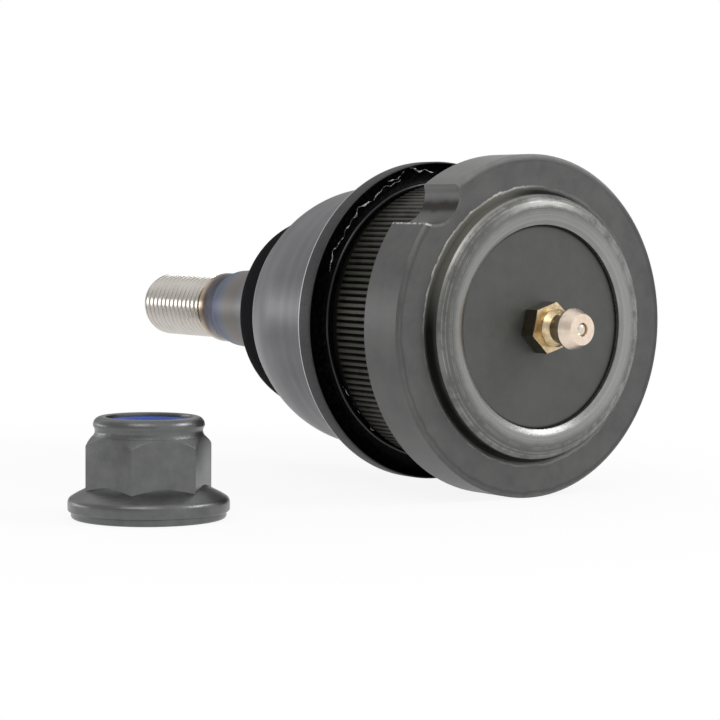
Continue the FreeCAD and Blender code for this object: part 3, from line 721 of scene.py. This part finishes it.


# %% [markdown]
# ## Dark phosphate steel of the housing
# The housing is forged, turned and phosphated. The coating is a dull grey with slow clouds,
# and the turned faces show rings. On top of that, the rolled lip is partly burnished and partly given a
# painted highlight on its crest, with painted light on its far side; the groove outside the lip holds painted
# shade, lighter on its upper side as painted light, with a painted highlight on its edge; the roots of the
# serrations are darker than their crests; the front's outer edge has a line of painted shade;
# the notch's front edge has a painted highlight; and the top of the flange has painted light. Each region has
# a function of its own that gives its coats.

# %% Colours and places on the housing
PHOSPHATE = (0.095, 0.097, 0.096)
PHOSPHATE_LIGHT = (0.135, 0.137, 0.132)
OLIVE = (0.125, 0.124, 0.114)
# Partly burnished metal, partly a painted highlight on the lip.
BURNISH_AND_HIGHLIGHT = (0.34, 0.342, 0.333)
BARREL_BROWN = (0.042, 0.04, 0.031)
# Dark for painted shade in the groove round the lip, and for the darker roots of the serrations.
HOLLOW_DARK = (0.014, 0.013, 0.011)
# Painted light on the groove's upper side.
GROOVE_LIGHT = (0.3, 0.295, 0.265)
# Painted highlight on the groove's edge.
GROOVE_EDGE_HIGHLIGHT = (0.5, 0.5, 0.47)
# Painted shade along the front face's outer edge.
FRONT_EDGE_SHADE = (0.05, 0.05, 0.049)
NOTCH_BROWN = (0.022, 0.018, 0.013)
BARE_NICK = (0.5, 0.5, 0.48)
# Painted highlight along the notch's front edge.
NOTCH_EDGE_HIGHLIGHT = (0.24, 0.24, 0.23)
# Painted light on the top of the flange.
TOP_PAINTED_LIGHT = (0.27, 0.27, 0.265)
FRONT_FACE = 15.5
BARREL_FRONT = 6.7
LIP_FOOT = 21.3
NOTCH_ANGLE = math.radians(134.0)
NOTCH_REACH = 29.7
NOTCH_RADIUS = 4.85
NOTCH_FLOOR_LOW = 18.6
NOTCH_FLOOR_HIGH = 20.2


# %% Patterns of the housing
def housing_patterns(tree, place):
    """The lengths, regions and noises that several marks on the housing share."""
    along, radius = along_and_radius(tree, place)
    parts = node(tree, "SeparateXYZ", {0: place}).outputs
    blotches = noise(tree, place, 420, 4, 0.65)
    in_front = past(tree, along, FRONT_FACE - 0.5, FRONT_FACE)
    return SimpleNamespace(
        place=place, along=along, radius=radius, across=parts["Y"], up=parts["Z"],
        blotches=blotches, in_front=in_front, ragged=unruly(tree, radius, blotches, 1.1),
        streaks=lathe_marks(tree, times(tree, along, 0.3), radius, 1500),
        rolled=times(tree, past(tree, radius, LIP_FOOT + 0.3, LIP_FOOT), in_front),
        notch_side=past(tree, maths(tree, "SUBTRACT", parts["Z"], parts["Y"]), 21, 30))


# %% Coats of the lip and the barrel
def lip_coats(tree, seen):
    """Olive on the rolled lip; bright metal on its crest and in its scuffs, partly burnishing and partly a
    painted highlight, with painted light on the far side.
    """
    # The crest coat is partly burnishing and partly a painted highlight; the far side gets painted light.
    crest = times(tree, stripe(tree, seen.ragged, 16.5, 18.9, 0.7), seen.in_front)
    painted_light_far_side = times(tree, past(tree, seen.across, 6, 15), 0.35)
    scuffs_and_far_light = maths(tree, "ADD", step_between(tree, seen.streaks, 0.4, 0.68), painted_light_far_side)
    scuffs_and_far_light = times(tree, maths(tree, "MINIMUM", scuffs_and_far_light, 1.0), seen.rolled)
    patchy = maths(tree, "MAXIMUM", step_between(tree, seen.blotches, 0.35, 0.6), crest)
    return [(times(tree, seen.rolled, 0.5), OLIVE), (times(tree, crest, 0.55), BURNISH_AND_HIGHLIGHT),
            (times(tree, scuffs_and_far_light, patchy), BURNISH_AND_HIGHLIGHT)]


def barrel_coats(tree, seen):
    """The serrated barrel behind the flange, darkest at the roots."""
    behind = past(tree, seen.along, BARREL_FRONT + 0.4, BARREL_FRONT)
    root = times(tree, past(tree, seen.ragged, 23.5, 23.1), behind)
    return [(times(tree, behind, 0.8), BARREL_BROWN), (times(tree, root, 0.9), HOLLOW_DARK)]


# %% Coats of the front and the notch
def front_coats(tree, seen):
    """Painted shade in the groove round the lip, painted light on its upper side towards the notch, a painted
    highlight on the groove's edge and painted shade along the front's outer edge.
    """
    # Painted shade in the groove, weaker towards the notch side.
    groove = times(tree, stripe(tree, seen.radius, LIP_FOOT, 22.2, 0.15),
                   stripe(tree, seen.along, FRONT_FACE, 16.9, 0.4))
    groove_shade_share = maths(tree, "SUBTRACT", 0.75, times(tree, seen.notch_side, 0.7))
    # Painted light on the groove's upper side, towards the notch.
    groove_lit_side = times(tree, stripe(tree, seen.radius, 21.2, 22.7, 0.2), seen.in_front,
                    seen.notch_side, 0.8)
    # A painted highlight on the groove's edge, strongest towards the notch.
    edge_light_share = maths(tree, "ADD", times(tree, seen.notch_side, 0.8), 0.15)
    edge = times(tree, stripe(tree, seen.ragged, 22.5, 22.85, 0.12), seen.in_front, edge_light_share)
    # Painted shade along the front face's outer edge.
    forged = times(tree, stripe(tree, seen.ragged, 26.9, 27.35, 0.25), seen.in_front, 0.45)
    return [(times(tree, groove, groove_shade_share), HOLLOW_DARK), (groove_lit_side, GROOVE_LIGHT), (edge, GROOVE_EDGE_HIGHLIGHT),
            (forged, FRONT_EDGE_SHADE)]


def notch_coats(tree, seen):
    """Brown on the notch's floor, nicks along its rim and a painted highlight along its front edge."""
    middle = (0, NOTCH_REACH * MM * math.cos(NOTCH_ANGLE), NOTCH_REACH * MM * math.sin(NOTCH_ANGLE))
    away = node(tree, "VectorMath", {0: across_axis(tree, seen.place), 1: middle},
                operation="DISTANCE").outputs["Value"]
    brown = times(tree, past(tree, away, NOTCH_RADIUS + 0.1, NOTCH_RADIUS), stripe(
        tree, unruly(tree, seen.up, seen.blotches, 1.0), NOTCH_FLOOR_LOW, NOTCH_FLOOR_HIGH, 0.5), 0.85)
    nicked = times(tree, stripe(tree, away, NOTCH_RADIUS + 0.05, 5.2, 0.08),
                   past(tree, seen.radius, 26.5, 27.2),
                   past(tree, seen.up, NOTCH_FLOOR_LOW, NOTCH_FLOOR_LOW - 0.5),
                   step_between(tree, noise(tree, seen.place, 900, 3, 0.7), 0.4, 0.6))
    # A painted highlight, broken up by noise, along the notch's front edge.
    notch_edge_highlight = times(tree, stripe(tree, away, NOTCH_RADIUS, 5.3, 0.12),
                    past(tree, seen.along, FRONT_FACE - 0.2, FRONT_FACE + 0.2),
                    step_between(tree, seen.blotches, 0.35, 0.75), 0.6)
    return [(brown, NOTCH_BROWN), (nicked, BARE_NICK), (notch_edge_highlight, NOTCH_EDGE_HIGHLIGHT)]


# %% Finish of the housing
def finish_housing():
    material, tree, shader, place = new_finish("phosphated_forging", 0.85, 0.45)
    seen = housing_patterns(tree, place)
    clouds = noise(tree, place, 260, 5, 0.6)
    colour = blend_colour(tree, vary(tree, clouds, -0.6, 1.4), PHOSPHATE, PHOSPHATE_LIGHT)
    # Painted light: the top of the flange's rim is lighter, where the light from above falls.
    painted_light_on_top = times(tree, past(tree, seen.up, 17, 25), past(tree, seen.radius, 26.8, 27.6),
                     vary(tree, seen.blotches, 0.3, 0.7))
    coats = lip_coats(tree, seen) + barrel_coats(tree, seen) + front_coats(tree, seen)
    coats += notch_coats(tree, seen) + [(painted_light_on_top, TOP_PAINTED_LIGHT)]
    smoother = times(tree, seen.rolled, 0.17)
    feed(tree, shader, lay_over(tree, colour, coats),
         maths(tree, "SUBTRACT", vary(tree, clouds, 0.38, 0.54), smoother))
    rings = lathe_marks(tree, seen.along, seen.radius, 1800)
    grain = noise(tree, place, 4500, 3, 0.6)
    height = maths(tree, "ADD", times(tree, rings, 0.7), grain)
    height = maths(tree, "ADD", height, times(tree, seen.streaks, seen.rolled, 2.0))
    bump(tree, shader, height, 0.02)
    print(len(coats), "coats on the housing")
    return material


# %% Finish of the cover plate
PLATE_EDGE = 16.45


def finish_cover():
    material, tree, shader, place = new_finish("phosphated_plate", 0.8, 0.5)
    along, radius = along_and_radius(tree, place)
    clouds = noise(tree, place, 420, 5, 0.65)
    grain = noise(tree, place, 5200, 2, 0.6)
    colour = blend_colour(tree, vary(tree, clouds, -0.4, 1.3), (0.092, 0.095, 0.092), (0.118, 0.121, 0.115))
    # Painted shade: a near-black ring at the plate's edge, where it meets the lip.
    painted_edge_shade = past(tree, radius, PLATE_EDGE - 0.45, PLATE_EDGE)
    colour = blend_colour(tree, painted_edge_shade, colour, (0.012, 0.012, 0.012))
    feed(tree, shader, colour, vary(tree, clouds, 0.44, 0.58))
    bump(tree, shader, grain, 0.012)
    return material


# %% [markdown]
# ## Machined and heat-tinted steel of the stud
# Only the thread's end of the stud is heated, to soften it. Steel keeps the colours of that
# heat as a fine oxide: straw, then brown, then blue, then bare grey again. The colours
# depend on the place along the axis alone, so a colour ramp over that place paints them,
# with a little noise so that the bands aren't ruled.

# %% Finish of the stud
HEAT_BANDS = [
    (-79.0, (0.54, 0.51, 0.47)), (-76.0, (0.52, 0.47, 0.40)), (-74.6, (0.40, 0.31, 0.23)),
    (-73.8, (0.18, 0.115, 0.075)), (-73.2, (0.03, 0.02, 0.025)), (-71.7, (0.008, 0.009, 0.025)),
    (-70.9, (0.03, 0.038, 0.10)), (-69.9, (0.085, 0.105, 0.175)), (-67.5, (0.15, 0.17, 0.215)),
    (-65.5, (0.19, 0.19, 0.20)), (-63.5, (0.20, 0.18, 0.165)), (-61.5, (0.18, 0.178, 0.176)),
    (-59.0, (0.21, 0.21, 0.21))]


def heat_tint(tree, along, waver):
    """The colours of the heat, by the place along the stud."""
    first, last = HEAT_BANDS[0][0], HEAT_BANDS[-1][0]
    share = node(tree, "MapRange", {"Value": unruly(tree, along, waver, 1.6),
                                    "From Min": first * MM, "From Max": last * MM}).outputs[0]
    ramp = node(tree, "ValToRGB", {"Fac": share})
    elements = ramp.color_ramp.elements
    elements[0].color = (*HEAT_BANDS[0][1], 1)
    elements[1].color = (*HEAT_BANDS[-1][1], 1)
    for band_at, colour in HEAT_BANDS[1:-1]:
        elements.new((band_at - first) / (last - first)).color = (*colour, 1)
    return ramp.outputs[0]


def finish_stud():
    material, tree, shader, place = new_finish("heat_tinted_steel", 1.0, 0.28)
    along, radius = along_and_radius(tree, place)
    smudge = noise(tree, place, 380, 5, 0.6)
    # The roots of the thread's first turns are made darker.
    darker_thread_root = times(tree, past(tree, radius, THREAD_ROOT + 0.4, THREAD_ROOT - 0.05),
                       past(tree, along, THREAD_START, THREAD_START - 1), 0.25)
    colour = lay_over(tree, heat_tint(tree, along, noise(tree, place, 220, 4)), [
        (vary(tree, smudge, -0.3, 0.4), (0.28, 0.26, 0.24)), (darker_thread_root, (0.2, 0.18, 0.16))])
    scaled = times(tree, past(tree, along, THREAD_START + 0.3, -69), 0.28)
    feed(tree, shader, colour, maths(tree, "ADD", vary(tree, smudge, 0.16, 0.28), scaled))
    bump(tree, shader, lathe_marks(tree, along, radius, 2600), 0.006)
    return material


# %% [markdown]
# ## Rubber, moulded and glossy
# The dome is smooth rubber with a satin, faintly streaked skin. The collar is the same kind
# of rubber, black and dull. The rim's edge is satin where it was trimmed, and its front has
# the gloss of the mould.

# %% Finish of the dome
def finish_dome():
    material, tree, shader, place = new_finish("satin_dome_skin", 0.6, 0.32)
    along, radius = along_and_radius(tree, place)
    streaks = lathe_marks(tree, along, radius, 420)
    clouds = noise(tree, place, 150, 4, 0.5)
    share = maths(tree, "ADD", times(tree, streaks, 0.5), times(tree, clouds, 0.5))
    colour = blend_colour(tree, vary(tree, share, -0.5, 1.5), (0.105, 0.105, 0.11), (0.19, 0.19, 0.2))
    # Painted highlight: the small end of the dome is made lighter, standing in for the rim light on its edge.
    painted_rim_light = maths(tree, "POWER", past(tree, along, -35.6, BOOT_END + 0.2), 2.0)
    feed(tree, shader, blend_colour(tree, painted_rim_light, colour, (0.36, 0.36, 0.375)),
         vary(tree, clouds, 0.34, 0.46))
    bump(tree, shader, lathe_marks(tree, along, radius, 3000), 0.008)
    return material


# %% Finish of the collar and the lip of the skin
def finish_black_rubber(name, colour, roughness, specular, grain_per_metre, depth_mm):
    material, tree, shader, place = new_finish(name, 0.0, roughness)
    clouds = noise(tree, place, 350, 4, 0.6)
    grain = noise(tree, place, grain_per_metre, 3, 0.65)
    shader.inputs["Specular IOR Level"].default_value = specular
    lighter = [c * 1.6 + 0.003 for c in colour]
    feed(tree, shader, blend_colour(tree, clouds, colour, lighter),
         vary(tree, grain, roughness - 0.06, roughness + 0.1))
    bump(tree, shader, grain, depth_mm)
    return material


# %% Finish of the rim
def finish_rim():
    material, tree, shader, place = new_finish("rim_skin", 0.0, 0.3)
    shader.inputs["Specular IOR Level"].default_value = 0.03
    along, radius = along_and_radius(tree, place)
    clouds = noise(tree, place, 300, 5, 0.65)
    speckle = noise(tree, place, 1500, 4, 0.7)
    trimmed = past(tree, radius, RIM_RADIUS - 0.25, RIM_RADIUS - 0.12)
    back = past(tree, along, RIM_BACK + 0.4, RIM_BACK + 0.1)
    satin = maths(tree, "MAXIMUM", trimmed, back)
    grey = blend_colour(tree, speckle, (0.04, 0.04, 0.042), (0.085, 0.085, 0.088))
    # Painted highlight: a thin bright line along the rim's back edge.
    back_edge_highlight = times(tree, past(tree, radius, RIM_RADIUS - 0.5, RIM_RADIUS - 0.3),
                 stripe(tree, along, RIM_BACK, RIM_BACK + 0.42, 0.06))
    grey = blend_colour(tree, back_edge_highlight, grey, (0.62, 0.62, 0.63))
    black = blend_colour(tree, step_between(tree, speckle, 0.45, 0.75), (0.001, 0.001, 0.0012),
                         (0.009, 0.009, 0.0095))
    feed(tree, shader, blend_colour(tree, satin, black, grey), vary(tree, satin, 0.3, 0.5))
    tree.links.new(times(tree, satin, 0.6), shader.inputs["Metallic"])
    fine = lathe_marks(tree, along, radius, 2200)
    bump(tree, shader, maths(tree, "ADD", times(tree, clouds, 0.8), times(tree, fine, 0.2)), 0.03)
    return material


# %% Finish of the flash
def finish_glinting_flash():
    material, tree, shader, place = new_finish("flash_painted_glint", 0.0, 0.35)
    # Painted highlight: patches of each thread are pale, where light glints on the glossy rubber.
    glint_share = step_between(tree, noise(tree, place, 900, 4, 0.7), 0.42, 0.58)
    feed(tree, shader, blend_colour(tree, glint_share, (0.01, 0.01, 0.011), (0.7, 0.7, 0.71)),
         vary(tree, glint_share, 0.2, 0.5))
    bump(tree, shader, noise(tree, place, 4000, 3, 0.7), 0.03)
    return material


# %% [markdown]
# ## The grease fitting, the nut and the nylon ring
# The fitting is steel plated a pale gold; its hexagon's flanks are painted dark as a painted reflection of
# the dark plate. The nut is phosphated as the housing is, but coarser, so its grain is larger. The ring in
# the nut is blue nylon, which lets a little light in.

# %% Finish of the grease fitting
FITTING_HEX_FRONT = 20.55
FITTING_HEX_FLANK = 3.5
FITTING_HEAD = 24.0


def finish_fitting():
    material, tree, shader, place = new_finish("pale_gold_plating", 1.0, 0.28)
    along, radius = along_and_radius(tree, place)
    clouds = noise(tree, place, 900, 4, 0.6)
    gold = blend_colour(tree, vary(tree, clouds, -0.5, 1.5), (0.36, 0.25, 0.12), (0.86, 0.71, 0.47))
    pale = blend_colour(tree, vary(tree, clouds, -0.2, 1.2), (0.74, 0.58, 0.45), (0.95, 0.83, 0.71))
    head = past(tree, along, FITTING_HEAD, FITTING_HEAD + 1.2)
    # Painted reflection: the hexagon's flanks are made dark, as if they reflected the dark plate.
    flank = times(tree, past(tree, radius, FITTING_HEX_FLANK, FITTING_HEX_FLANK + 0.12),
                  past(tree, along, FITTING_HEX_FRONT, FITTING_HEX_FRONT - 0.2), 0.9)
    feed(tree, shader, lay_over(tree, gold, [(head, pale), (flank, (0.12, 0.105, 0.08))]),
         vary(tree, clouds, 0.22, 0.36))
    bump(tree, shader, lathe_marks(tree, along, radius, 5200), 0.012)
    return material


# %% Finish of the nut
def finish_nut():
    material, tree, shader, place = new_finish("coarse_phosphate", 0.9, 0.4)
    clouds = noise(tree, place, 330, 5, 0.62)
    crystals = node(tree, "TexVoronoi", {"Vector": place, "Scale": 2600.0}, feature="F1").outputs["Distance"]
    grain = noise(tree, place, 3800, 3, 0.7)
    feed(tree, shader, blend_colour(tree, clouds, (0.085, 0.086, 0.087), (0.185, 0.186, 0.188)),
         vary(tree, clouds, 0.25, 0.38))
    bump(tree, shader, maths(tree, "ADD", times(tree, crystals, 0.5), grain), 0.02)
    return material


# %% Finish of the nylon ring
def finish_nylon():
    material, tree, shader, place = new_finish("blue_nylon", 0.0, 0.35)
    clouds = noise(tree, place, 500, 3, 0.5)
    colour = blend_colour(tree, clouds, (0.012, 0.055, 0.30), (0.03, 0.09, 0.42))
    tree.links.new(colour, shader.inputs["Base Color"])
    shader.inputs["Subsurface Weight"].default_value = 0.25
    shader.inputs["Subsurface Radius"].default_value = (0.2 * MM, 0.4 * MM, 1.2 * MM)
    shader.inputs["Subsurface Scale"].default_value = 1.0
    bump(tree, shader, noise(tree, place, 2500, 3), 0.01)
    return material


# %% Finish of the steel inside the joint
def finish_ground_steel(name, colour, roughness):
    material, tree, shader, place = new_finish(name, 1.0, roughness)
    along, radius = along_and_radius(tree, place)
    rings = lathe_marks(tree, along, radius, 2400)
    lighter = [c * 1.3 for c in colour]
    feed(tree, shader, blend_colour(tree, rings, colour, lighter),
         vary(tree, rings, roughness - 0.05, roughness + 0.08))
    bump(tree, shader, rings, 0.006)
    return material


# %% [markdown]
# ## Dress the pieces
# A finish replaces whatever material a piece came with. A new piece also names the slot of
# the record that it takes its finish from, the body that it rides on and the solid that it
# stands for.

# %% Give each piece its finish
def dress(piece, material):
    piece.data.materials.clear()
    piece.data.materials.append(material)


finishes = {
    "forged_steel": finish_housing(),
    "cover_steel": finish_cover(),
    "bearing_steel": finish_ground_steel("ground_bearing_steel", (0.5, 0.49, 0.48), 0.2),
    "valve_steel": finish_ground_steel("creamy_valve_steel", (0.62, 0.57, 0.49), 0.22),
    "spring_steel": finish_ground_steel("tempered_spring_steel", (0.26, 0.26, 0.27), 0.3),
    "stud_steel": finish_stud(),
    "rim_steel": finish_rim(),
    "boot_rubber": finish_dome(),
    "collar_rubber": finish_black_rubber("dull_collar_rubber", (0.006, 0.006, 0.007), 0.88, 0.03, 3000, 0.02),
    "fitting_metal": finish_fitting(),
    "nut_steel": finish_nut(),
    "nut_nylon": finish_nylon(),
}
glossy_rubber = finish_black_rubber("glossy_rim_rubber", (0.003, 0.003, 0.004), 0.16, 0.4, 700, 0.02)
flash_painted_glint = finish_glinting_flash()
for part in frame["record"]["subparts"]:
    dress(frame["nodes"][part["node"]], finishes[part["material_slot"]])
print("slots with a finish:", len(finishes))

# %% Let the new pieces ride
RIDES = (
    (stud_shank, "stud", "stud_steel", ["ball_stud"]),
    (stud_thread, "stud", "stud_steel", []),
    (boot_collar, "swing", "collar_rubber", ["boot_collar"]),
    (garter, "swing", "spring_steel", ["collar_garter"]),
    (nut, "nut", "nut_steel", ["lock_nut"]),
    (rim_body, "socket", "rim_steel", ["boot_rim"]),
    (rim_lip, "socket", "rim_steel", []),
    *[(thread, "socket", "rim_steel", []) for thread in flash],
)
for piece, body, slot, nodes in RIDES:
    dress(piece, finishes[slot])
    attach(piece, body)
    if nodes:
        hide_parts(*nodes)
dress(rim_lip, glossy_rubber)
for thread in flash:
    dress(thread, flash_painted_glint)

# %% [markdown]
# ## The dome
# The dome takes the rubber finish and stands in for the boot, and its place is baked into its mesh.

# %% Dress the dome
dress(boot_dome, finishes["boot_rubber"])
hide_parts("boot")
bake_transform(boot_dome)

# %% [markdown]
# ## The check spring
# The coil takes the spring steel finish, stands in for the solid, rides on the socket and gets a mesh of its
# own.

# %% Dress the check spring
dress(check_spring, finishes["spring_steel"])
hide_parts("grease_check_spring")
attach(check_spring, "socket")
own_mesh(check_spring)

# %% [markdown]
# ## Floor, light and camera
# The photograph is a product picture on white. The floor is a pale plane that keeps the
# soft shadow, and the world is white where the camera or a reflection sees it. Bright metal
# in a white room looks flat, so a studio hangs dark cloths where only the metal sees them.
# Here they are dimmer parts of the floor and of the world, for reflections alone: a patch
# of floor beyond the stud, the front of the room, and one corner. The lamps are large and
# soft, from above on both sides. The camera stands low and far off with a long lens, at the
# angle at which the photograph shows the joint.

# %% What the camera and the reflections see
def seen_by_eye(tree):
    """The kinds of ray, and a share of 1 for those from the camera, a reflection or glass."""
    path = node(tree, "LightPath").outputs
    direct = maths(tree, "MAXIMUM", path["Is Camera Ray"], path["Is Glossy Ray"])
    return path, maths(tree, "MAXIMUM", direct, path["Is Transmission Ray"])


# %% Floor
FLOOR_GLOW_NEAR = 0.89
select_nothing()
floor_level = cad_box[0][2]
bpy.ops.mesh.primitive_plane_add(size=6, location=(0, 0, floor_level))
floor = bpy.context.object
floor.name = "studio_floor"
floor_material, tree, shader, place = new_finish("studio_floor", 0.0, 0.8)
shader.inputs["Specular IOR Level"].default_value = 0.1
shader.inputs["Base Color"].default_value = (0.9, 0.9, 0.9, 1)
path, seen = seen_by_eye(tree)
from_part = node(tree, "VectorMath", {0: place, 1: (-30 * MM, -30 * MM, 0)}, operation="DISTANCE")
away = past(tree, from_part.outputs["Value"], 50, 140)
floor_parts = node(tree, "SeparateXYZ", {0: place}).outputs
slanted = maths(tree, "SUBTRACT", times(tree, floor_parts["X"], 0.7), floor_parts["Y"])
dark_patch = times(tree, past(tree, floor_parts["X"], -118, -132), past(tree, slanted, -67, -60))
shade = times(tree, dark_patch, path["Is Glossy Ray"], 0.85)
glow = node(tree, "Emission", {"Color": (1, 1, 1, 1), "Strength": maths(tree, "SUBTRACT", 1.0, shade)})
share = times(tree, vary(tree, away, FLOOR_GLOW_NEAR, 1.0), seen)
mix = node(tree, "MixShader", {0: share, 1: shader.outputs[0], 2: glow.outputs[0]})
tree.links.new(mix.outputs[0], tree.nodes["Material Output"].inputs["Surface"])
dress(floor, floor_material)

# %% World
PLAIN_LIGHT = 0.65
DARK_CORNER = (-0.93, 0.3, 0.2)
world = bpy.data.worlds.new("white_studio")
bpy.context.scene.world = world
world.use_nodes = True
tree = world.node_tree
tree.nodes.clear()
path, seen = seen_by_eye(tree)
heading = node(tree, "TexCoord").outputs["Generated"]
front = step_between(tree, node(tree, "SeparateXYZ", {0: heading}).outputs["Y"], -0.15, -0.5)
towards_corner = node(tree, "VectorMath", {0: heading, 1: DARK_CORNER}, operation="DOT_PRODUCT")
corner = step_between(tree, towards_corner.outputs["Value"], 0.9, 0.985)
dim = maths(tree, "MAXIMUM", times(tree, front, 0.4), times(tree, corner, 0.6))
shade = times(tree, dim, path["Is Glossy Ray"])
plain = node(tree, "Background", {"Color": (1, 1, 1, 1), "Strength": PLAIN_LIGHT})
white = node(tree, "Background", {"Color": (1, 1, 1, 1), "Strength": maths(tree, "SUBTRACT", 1.0, shade)})
mix = node(tree, "MixShader", {0: seen, 1: plain.outputs[0], 2: white.outputs[0]})
node(tree, "OutputWorld", {0: mix.outputs[0]})

# %% Lamps
def softbox(name, place, aim, width, height, power):
    """A large soft lamp that points at the object."""
    bpy.ops.object.light_add(type="AREA", location=place)
    lamp = bpy.context.object
    lamp.name = name
    lamp.data.shape = "RECTANGLE"
    lamp.data.size, lamp.data.size_y = width, height
    lamp.data.energy = power
    lamp.rotation_euler = (Vector(aim) - Vector(place)).to_track_quat("-Z", "Y").to_euler()
    print(name, "gives", power, "W")


centre = (-0.02, -0.01, 0.0)
softbox("key_softbox", (0.32, -0.45, 0.66), centre, 0.5, 0.35, 1.4)
softbox("fill_softbox", (0.40, 0.50, 0.48), centre, 0.35, 0.25, 2.0)
softbox("strip_lamp", (-0.48, -0.36, 0.036), centre, 0.3, 0.1, 0.35)

# %% Camera
CAMERA_PLACE = Vector((302.06, -246.15, 17.4)) * MM
CAMERA_YAW, CAMERA_PITCH, CAMERA_ROLL = (math.radians(a) for a in (143.58, -3.5, 0.38))
CAMERA_LENS = 115.8
look = Vector((math.cos(CAMERA_YAW) * math.cos(CAMERA_PITCH),
               math.sin(CAMERA_YAW) * math.cos(CAMERA_PITCH), math.sin(CAMERA_PITCH)))
bpy.ops.object.camera_add(location=CAMERA_PLACE)
camera = bpy.context.object
camera.data.lens = CAMERA_LENS
camera.data.sensor_width = 36
camera.data.sensor_fit = "HORIZONTAL"
camera.data.clip_start = 0.005
turn = look.to_track_quat("-Z", "Y").to_matrix()
camera.rotation_euler = (turn @ Matrix.Rotation(CAMERA_ROLL, 3, "Z")).to_euler()
bpy.context.scene.camera = camera
bpy.context.scene.view_settings.view_transform = "Standard"
print("camera", round(camera.location.length / MM), "mm from the ball, lens", CAMERA_LENS, "mm")
